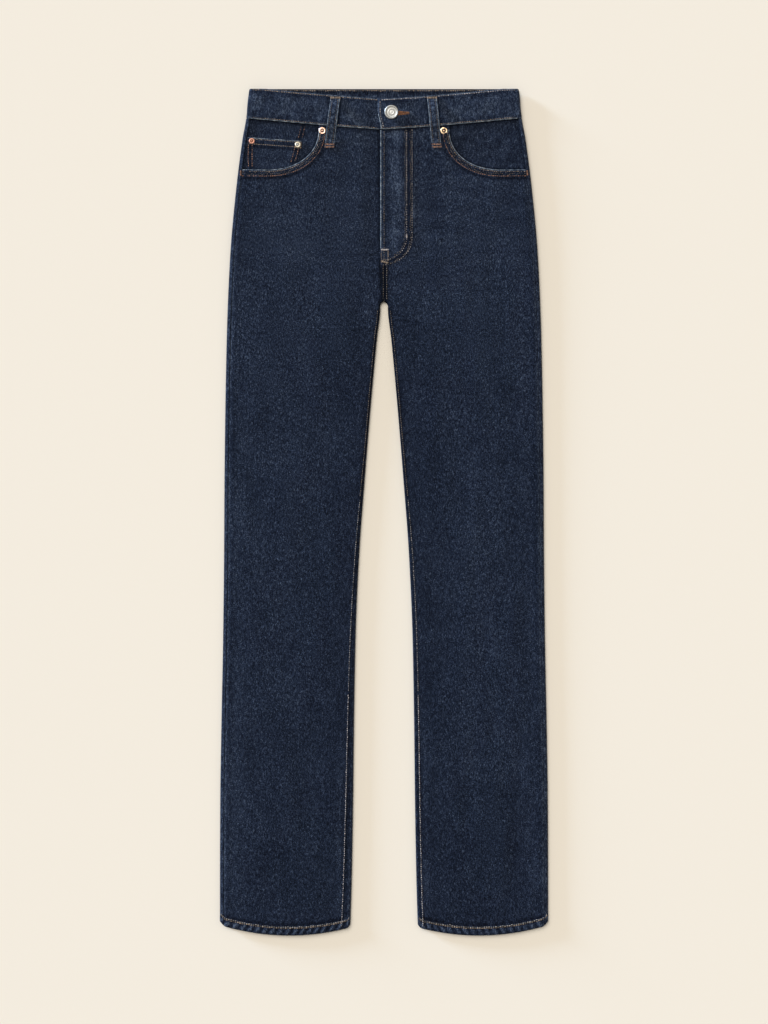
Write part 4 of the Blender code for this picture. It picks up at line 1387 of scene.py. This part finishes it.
def opening_curve(margin):
    """The pocket's opening moved outwards by a margin, from the waistband to the outseam."""
    x, y = opening_point(np.linspace(0.0, math.pi / 2, 60), margin)
    x = np.append(x, outseam_x(POCKET_Y - POCKET_DEPTH - margin) - 0.6)
    y = np.append(y, y[-1] + 0.4)
    keep = y < band_foot(x) - 2.5
    return x[keep], y[keep]


def fly_row(row, shift=0.0):
    y = np.linspace(band_foot(FLY_ROWS_X[row]) - 2.0, FLY_END_Y + 5.5 * (1 - row) + 0.05, 160)
    return fly_row_x(y, row) + shift, y


def fly_stitches(gold, pale, dim):
    for row in (0, 1):
        pale.row(on_front(*fly_row(row), 1), pitch=3.1, width=0.8, length=1.6)
        dim.row(on_front(*fly_row(row, -2.0), 1), pitch=2.4, width=1.0, length=1.3, wander=0.5)
    rows = (
        # threads, x, first y, last y, points, pitch, width
        (dim, FLY_EDGE_X + 4.6, BAND_FOOT_CENTRE_Y - 2.0, FLY_END_Y + 3.0, 80, 2.9, 0.80),
        (dim, 3.5, FLY_END_Y, CROTCH_Y + 3.0, 40, 2.9, 0.85),
        (dim, -0.9, FLY_END_Y, CROTCH_Y + 3.0, 40, 2.9, 0.75),
        (gold, -3.4, FLY_TACK_Y - 1.5, FLY_END_Y + 2.0, 12, 2.6, 0.80),
        (gold, 5.2, FLY_TACK_Y - 1.5, FLY_END_Y + 2.0, 12, 2.6, 0.80),
    )
    for threads, x, first, last, count, pitch, width in rows:
        threads.row(on_front(x, np.linspace(first, last, count), 1), pitch=pitch, width=width)
    tacks = (
        # threads, the x and the y of both ends, depth
        (pale, (-3.9, 5.6), (FLY_TACK_Y, FLY_TACK_Y), 2.2),
        (gold, (-3.9, 5.0), (FLY_END_Y + 5.5, FLY_END_Y + 2.5), 2.8),
        (pale, (29.0, 29.0), (FLY_BOW_Y + 2.0, FLY_BOW_Y - 2.5), 1.9),
    )
    for threads, x, y, depth in tacks:
        threads.tack(*on_front(x, y, 1, 0.55), depth)


def front_stitches(side):
    gold, orange, pale, dim, dull = (Threads(seed + side) for seed in (200, 210, 220, 225, 228))
    for margin, threads in zip(POCKET_ROWS, (gold, orange)):
        threads.row(on_front(*opening_curve(margin), side), pitch=2.7, width=0.85)
    dim.row(on_front(*opening_curve(5.2), side), pitch=2.2, width=1.0, length=1.2, wander=1.0)
    # The inseam's row is bright at the foot and fades out towards the crotch.
    y = np.linspace(ARCH_Y - 4.0, HEM_INNER_Y + 1.0, 200)
    radius = lay("top", y) / 2
    seam = lay(f"inseam_{WORDS[side]}", y) - radius * math.pi / 2
    x = outline("gap", y) + radius + np.maximum(seam, -1.8) + 1.7
    levels = (-math.inf, INSEAM_DULL_Y, INSEAM_DIM_Y, math.inf)
    for threads, low, high in zip((pale, dull, dim), levels, levels[1:]):
        part = (y >= low) & (y < high)
        threads.row(on_front(x[part], y[part], side), pitch=2.8, width=0.85)
    if side > 0:
        fly_stitches(gold, pale, dim)
    x = outseam_x(SIDE_TACK_Y) + np.array([1.3, 1.5])
    orange.tack(*on_front(x, (SIDE_TACK_Y + 3.3, SIDE_TACK_Y - 3.3), side, 0.2), 2.0)
    kinds = {"gold": (gold, GOLD), "orange": (orange, ORANGE), "dull": (dull, DULL), "pale": (pale, PALE)}
    kinds["dim"] = (dim, DIM)
    name = f"stitches_front_{{}}_{WORDS[side]}"
    return [threads.make(name.format(kind), material) for kind, (threads, material) in kinds.items()]


def hem_stitches(side):
    gold, pale = Threads(230 + side), Threads(235 + side)
    share = np.linspace(0.0, 1.0, 90)
    for offset, threads in ((9.3, gold), (10.7, pale)):
        y = hem_line(share) + offset
        x = outline("gap", y) + (outline("outer", y) - outline("gap", y)) * share
        x = np.clip(x, x[0] + 1.8, x[-1] - 1.8)
        threads.row(on_front(x, y, side), pitch=2.9, width=1.0, length=2.3, wander=0.2)
        under = xyz(side * x, y, 0.45)[6:-6]
        threads.row(under, pitch=3.4, width=0.8, length=2.6, up=-1.0)
    word = WORDS[side]
    return [gold.make(f"stitches_hem_gold_{word}", GOLD), pale.make(f"stitches_hem_pale_{word}", DULL)]


def band_line(x, from_foot=None, from_head=None):
    y = band_foot(x) + from_foot if from_foot is not None else band_head(x) - from_head
    return xyz(x, y, band_front_z(x, y))


def buttonhole():
    """The buttonhole's close stitches, tapering away from the button."""
    rust = Threads(243)
    centre = centre_mm("button")
    for edge in (-1, 1):
        along = np.array([0.3, edge, 0.0]) / math.hypot(0.3, 1.0)
        for t in np.linspace(0, 1, BUTTONHOLE_BARS):
            x = centre[0] + 8.2 + BUTTONHOLE_LENGTH * t
            y = centre[1] - 1.0 + (1.55 - 0.75 * t) * edge
            z = float(band_front_z(np.array(x), np.array(y))) + 0.25
            rust.bar((x, y, z), along, 2.9 - 1.5 * t, 0.66)
    return rust.make("stitches_buttonhole", RUST)


def band_stitches():
    gold, pale = Threads(240), Threads(241)
    right = np.linspace(-BAND_STITCH_X, BAND_END_X - 2.5, 120)
    left = np.linspace(BAND_END_X + 2.5, BAND_STITCH_X, 120)
    for head, x in ((gold, right), (pale, left)):
        head.row(band_line(x, from_head=BAND_ROWS_HEAD), pitch=3.0, width=0.95)
        gold.row(band_line(x, from_foot=BAND_ROWS_FOOT), pitch=3.0, width=0.75)
    y = np.linspace(BAND_FOOT_CENTRE_Y + 2.5, band_head(BAND_END_X) - 3.5, 30)
    x = BAND_END_X + band_end_bow(y) + 2.8
    pale.row(xyz(x, y, band_front_z(x, y)), pitch=3.0, width=0.75)
    # Round the back: inside where it shows above the front, and outside at the head and the foot.
    x = np.linspace(2.0 - BAND_STITCH_X, BAND_STITCH_X - 2.0, 160)
    y = TOP_Y - 1.9 + 0 * x
    inside = BAND_BACK_Z + BAND_THICK - band_relief(x, y, 0.0) + 0.15
    gold.row(xyz(x, y, inside), pitch=2.8, width=1.2)
    for y in (TOP_Y - BAND_ROWS_HEAD, BAND_FOOT_SIDE_Y + BAND_ROWS_FOOT):
        gold.row(xyz(x, y, BAND_BACK_Z + 0.25), pitch=3.0, width=0.75, up=-1.0)
    made = [gold.make("stitches_band_gold", GOLD), pale.make("stitches_band_pale", PALE)]
    return made + [buttonhole()]


def loop_stitches(word):
    node = f"belt_loop_front_{word}"
    low, high = box_mm(node)
    gold, orange, dim = Threads(250), Threads(251), Threads(252)
    y = np.linspace(high[1] - 4.5, low[1] + 6.5, 50)
    for offset in (-LOOP_ROWS_X, LOOP_ROWS_X):
        path = xyz(loop_centre_x(y, node) + offset, y, loop_top(y) + 0.2)
        dim.row(path, pitch=2.8, width=0.8, length=1.9)
    tacks = ((gold, high[1] - 2.0, 3.0), (orange, low[1] + 1.6, 2.2), (orange, low[1] + 4.8, 1.9))
    for threads, place, depth in tacks:
        x = loop_centre_x(place, node) + np.array([-1, 1]) * (LOOP_WIDTH / 2 + 0.2)
        threads.tack(*xyz(x, place, loop_top(place) + 0.35), depth)
    made = [gold.make(f"stitches_loop_head_{word}", GOLD), orange.make(f"stitches_loop_foot_{word}", ORANGE)]
    return made + [dim.make(f"stitches_loop_rows_{word}", DIM)]


def coin_stitches():
    gold, orange = Threads(260), Threads(261)
    x = np.linspace(COIN_TOP_INNER_X + 2.5, COIN_OUTER_X - 2.5, 40)
    for below in COIN_ROWS:
        y = coin_head_y(x) - below
        gold.row(xyz(-x, y, coin_surface(x, y) + 0.2), pitch=2.8, width=0.75)
    for inset in (1.5, 6.5):
        y = np.linspace(COIN_TOP_OUTER_Y - 3, COIN_FOOT_OUTER_Y, 30)
        x = COIN_OUTER_X - inset + 0 * y
        orange.row(xyz(-x, y, coin_surface(x, y)), pitch=2.8, width=0.75)
        y = np.linspace(COIN_TOP_INNER_Y - 3, COIN_FOOT_INNER_Y + 2.5 - inset * 0.2, 30)
        share = (COIN_TOP_INNER_Y - y) / (COIN_TOP_INNER_Y - COIN_FOOT_INNER_Y)
        x = COIN_TOP_INNER_X + (COIN_FOOT_INNER_X - COIN_TOP_INNER_X) * share + inset
        orange.row(xyz(-x, y, coin_surface(x, y)), pitch=2.8, width=0.75)
    y = np.linspace(COIN_SEAM_TOP_Y, 478.5, 16)
    for inset in (-2.5, 2.5):
        x = coin_seam_x(y) + inset
        orange.row(xyz(-x, y, facing_surface(x, y) + 0.1), pitch=2.8, width=0.7)
    # A square of close stitches holds the inner rivet.
    middle = centre_mm("rivet_coin_inner") - (0.0, 0.0, 0.9)
    corners = middle + COIN_SQUARE * np.array([(-1, 1, 0), (1, 1, 0), (1, -1, 0), (-1, -1, 0), (-1, 1, 0)])
    for start, end in zip(corners, corners[1:]):
        gold.tack(start, end, 1.3)
    return [gold.make("stitches_coin_gold", GOLD), orange.make("stitches_coin_orange", ORANGE)]


def back_stitches(side):
    gold = Threads(270 + side)

    def row(x, y, z):
        gold.row(xyz(x, y, z), pitch=3.1, width=0.75, up=-1.0)

    x = np.linspace(1.5, 174.0, 90)
    for lift in BACK_ROWS:
        y = yoke_line(x) + lift
        row(side * x, y, lay("under", y) + 0.3)
    y = np.linspace(CROTCH_Y + 6, YOKE_CENTRE_Y - 2, 80)
    for inset in BACK_ROWS if side > 0 else ():
        row(inset, y, lay("under", y) + 0.3)
    p = BACK_POCKET
    for inset in (2.0, 7.5):
        half, foot_half = p["width"] / 2 - inset, p["foot_width"] / 2 - inset
        corner = p["point"] - p["height"] + inset * 0.4
        u = np.array([-half, -foot_half, 0.0, foot_half, half])
        v = np.array([-0.5, corner, inset - p["height"], corner, -0.5])
        row(*pocket_corner(side, u, v), 0.25)
    for v in (2.0, 13.0):
        u = np.array([-1, 1]) * (p["width"] / 2 - 1.0)
        row(*pocket_corner(side, u, -v), 0.25)
    return [gold.make(f"stitches_back_{WORDS[side]}", GOLD)]


def back_loop_stitches(word):
    node = f"belt_loop_back_{word}"
    low, high = box_mm(node)
    gold = Threads(280)
    y = np.linspace(high[1] - 4, low[1] + 4, 30)
    for offset in (-LOOP_ROWS_X, LOOP_ROWS_X):
        gold.row(xyz((low[0] + high[0]) / 2 + offset, y, 0.3), pitch=2.8, width=0.6, length=1.9, up=-1.0)
    for place in (high[1] - 2.2, low[1] + 2.2):
        gold.tack((low[0] + 0.3, place, 0.35), (high[0] - 0.3, place, 0.35), 1.9, width=0.5, up=-1.0)
    return [gold.make(f"stitches_{node}", GOLD)]


def worn_edges():
    """The rolled, washed edges of the folded cloth on top, with painted shade on the waistband's head edge.
    """
    y = np.linspace(BAND_FOOT_CENTRE_Y - 1.0, FLY_TACK_Y + 1.5, 120)
    path = on_front(FLY_EDGE_X + 0.5, y, 1, -0.1)
    made = {"front_left": [roll("worn_fly_edge", path, 1.2, 0.9, 0.06, 301)], "front_right": []}
    for side, word in WORDS.items():
        path = on_front(*opening_curve(0.35), side, -0.1)
        made[f"front_{word}"].append(roll(f"worn_pocket_edge_{word}", path, 1.0, 0.8, 0.04, 305 + side))
    bands = []
    for word, start, end in (("right", -170.0, BAND_END_X - 1.0), ("left", BAND_END_X + 1.5, 170.0)):
        x = np.linspace(start, end, 120)
        path = band_line(x, from_foot=0.45) - (0, 0, 0.1)
        bands.append(roll(f"worn_band_foot_{word}", path, 1.1, 0.8, 0.08, 311))
        path = band_line(x, from_head=0.45) - (0, 0, 0.1)
        # The head's edge is darker: painted shade where the band's top rounds away.
        bands.append(roll(f"worn_shaded_band_head_{word}", path, 0.7, 0.6, -0.2, 313))
    y = np.linspace(BAND_FOOT_CENTRE_Y + 0.6, band_head(BAND_END_X) - 0.8, 30)
    x = BAND_END_X + band_end_bow(y) + 0.45
    path = xyz(x, y, band_front_z(x + 1.0, y) - 0.15)
    made["waistband"] = bands + [roll("worn_band_end", path, 1.3, 1.0, 0.12, 317)]
    x = np.linspace(COIN_TOP_INNER_X + 1.0, COIN_OUTER_X - 1.0, 40)
    y = coin_head_y(x) - 0.5
    path = xyz(-x, y, coin_surface(x, y) + 0.2)
    made["coin_pocket"] = [roll("worn_coin_edge", path, 0.9, 0.7, 0.0, 321)]
    for word in WORDS.values():
        node = f"belt_loop_front_{word}"
        low, high = box_mm(node)
        y = np.linspace(high[1] - 3.0, low[1] + 7.0, 50)
        made[node] = []
        for letter, edge in (("a", -1), ("b", 1)):
            x = loop_centre_x(y, node) + edge * (LOOP_WIDTH / 2 - 0.3)
            path = xyz(x, y, loop_top(y) - 0.1)
            made[node].append(roll(f"worn_loop_{word}_{letter}", path, 0.8, 0.8, 0.02, 325))
    return made


# ---------------------------------------------------------------- assembly


LEAST_AREA = 0.31
BACK_WRAP = 22.0
YOKE_WRAP = 14.0
BAND_WRAP = 400.0


def cloth_sheet(obj, node, wrap=0.0, extra=()):
    """Works out a panel's cut: its width, with what wraps round a fold, its length and its area, and keeps
    none of them.
    """
    low, high = box_mm(node)
    width, length = (high[0] - low[0] + wrap) * MM, (high[1] - low[1]) * MM
    area = sum(polygon.area for polygon in obj.data.polygons) / 2
    area = min(max(area, LEAST_AREA * width * length), width * length)


edges = worn_edges()
loops = {word: loop_stitches(word) for word in WORDS.values()}
for side, word in WORDS.items():
    back = settle(back_panel(side), f"back_{word}")
    sewn = back_stitches(side)
    cloth_sheet(back, f"back_{word}", BACK_WRAP)
    under = settle(back_pocket(side), f"back_pocket_{word}")
    cloth_sheet(under, f"back_pocket_{word}", 0.0, sewn)
    top = settle(front_panel(side), f"front_{word}")
    sewn = front_stitches(side) + hem_stitches(side) + edges[f"front_{word}"]
    cloth_sheet(top, f"front_{word}", 0.0, sewn)
    upper = settle(yoke(side), f"yoke_{word}")
    cloth_sheet(upper, f"yoke_{word}", YOKE_WRAP)
    inside = settle(facing(side), f"pocket_facing_{word}")
    cloth_sheet(inside, f"pocket_facing_{word}")
    node = f"belt_loop_front_{word}"
    loop = settle(front_loop(word), node)
    cloth_sheet(loop, node, 0.0, loops[word] + edges[node])
    behind = settle(back_loop(word), f"belt_loop_back_{word}")
    cloth_sheet(behind, f"belt_loop_back_{word}", 0.0, back_loop_stitches(word))
    metal = COPPER_GOLD if side > 0 else COPPER
    node = f"rivet_pocket_{word}"
    settle(metal_rivet(node, 1.0, metal, COPPER_DARK), node)
behind = settle(back_loop("centre"), "belt_loop_back_centre")
cloth_sheet(behind, "belt_loop_back_centre", 0.0, back_loop_stitches("centre"))
coin = settle(coin_pocket(), "coin_pocket")
cloth_sheet(coin, "coin_pocket", 0.0, coin_stitches() + edges["coin_pocket"])
band = settle(waistband(), "waistband")
cloth_sheet(band, "waistband", BAND_WRAP, band_stitches() + edges["waistband"])
settle(metal_rivet("rivet_coin_outer", 0.8, COPPER_DULL, COPPER_DARK), "rivet_coin_outer")
settle(metal_rivet("rivet_coin_inner", 0.8, STEEL_WORN, STEEL_DARK), "rivet_coin_inner")
settle(metal_button(), "button")

# ---------------------------------------------------------------- stage, light and camera


def floor():
    mesh = bpy.data.meshes.new(FLOOR)
    half, z = FLOOR_HALF, FLOOR_Z * MM
    corners = [(-half, -half, z), (half, -half, z), (half, half, z), (-half, half, z)]
    mesh.from_pydata(corners, [], [(0, 1, 2, 3)])
    mesh.materials.append(plain_material("paper", FLOOR_COLOUR, 0.9))
    return link(FLOOR, mesh)


def sun(name, azimuth, elevation, spread_degrees, share, colour):
    """Even light from far away. Azimuth is the side it comes from, counted from +X to +Y, and share
    is what it adds to a level surface."""
    light = bpy.data.lights.new(name, "SUN")
    turn, rise = math.radians(azimuth), math.radians(elevation)
    light.energy = share * math.pi / math.sin(rise)
    light.angle = math.radians(spread_degrees)
    light.color = colour
    link(name, light).rotation_euler = (math.pi / 2 - rise, 0.0, turn + math.pi / 2)


FLOOR_HALF = 3.0
FLOOR_COLOUR = (0.872, 0.812, 0.712)
LIGHT_COLOUR = (1.0, 0.958, 0.894)
LOW_COLOUR = (0.60, 0.84, 1.20)
FILL = 0.42
CAMERA_DISTANCE = 3.0
VIEW_HEIGHT = 1.3087
VIEW_RISE = 0.0003
SENSOR = 36.0

floor()
scene = bpy.context.scene
middle = (cad_bounds[0] + cad_bounds[1]) / 2
world = bpy.data.worlds.new("studio")
world.use_nodes = True
world.node_tree.nodes["Background"].inputs["Color"].default_value = (*LIGHT_COLOUR, 1.0)
world.node_tree.nodes["Background"].inputs["Strength"].default_value = FILL
scene.world = world
sun("overhead", azimuth=128.0, elevation=72.0, spread_degrees=20.0, share=0.265, colour=LIGHT_COLOUR)
sun("key", azimuth=128.0, elevation=52.0, spread_degrees=35.0, share=0.26, colour=LIGHT_COLOUR)
sun("low_side", azimuth=149.0, elevation=6.8, spread_degrees=11.0, share=0.15, colour=LOW_COLOUR)

camera = link("camera", bpy.data.cameras.new("camera"))
camera.data.sensor_width = SENSOR
camera.data.lens = SENSOR * CAMERA_DISTANCE / VIEW_HEIGHT
camera.location = (middle.x, middle.y + VIEW_RISE, middle.z + CAMERA_DISTANCE)
camera.rotation_euler = (0.0, 0.0, 0.0)
scene.camera = camera
scene.view_settings.view_transform = "Standard"
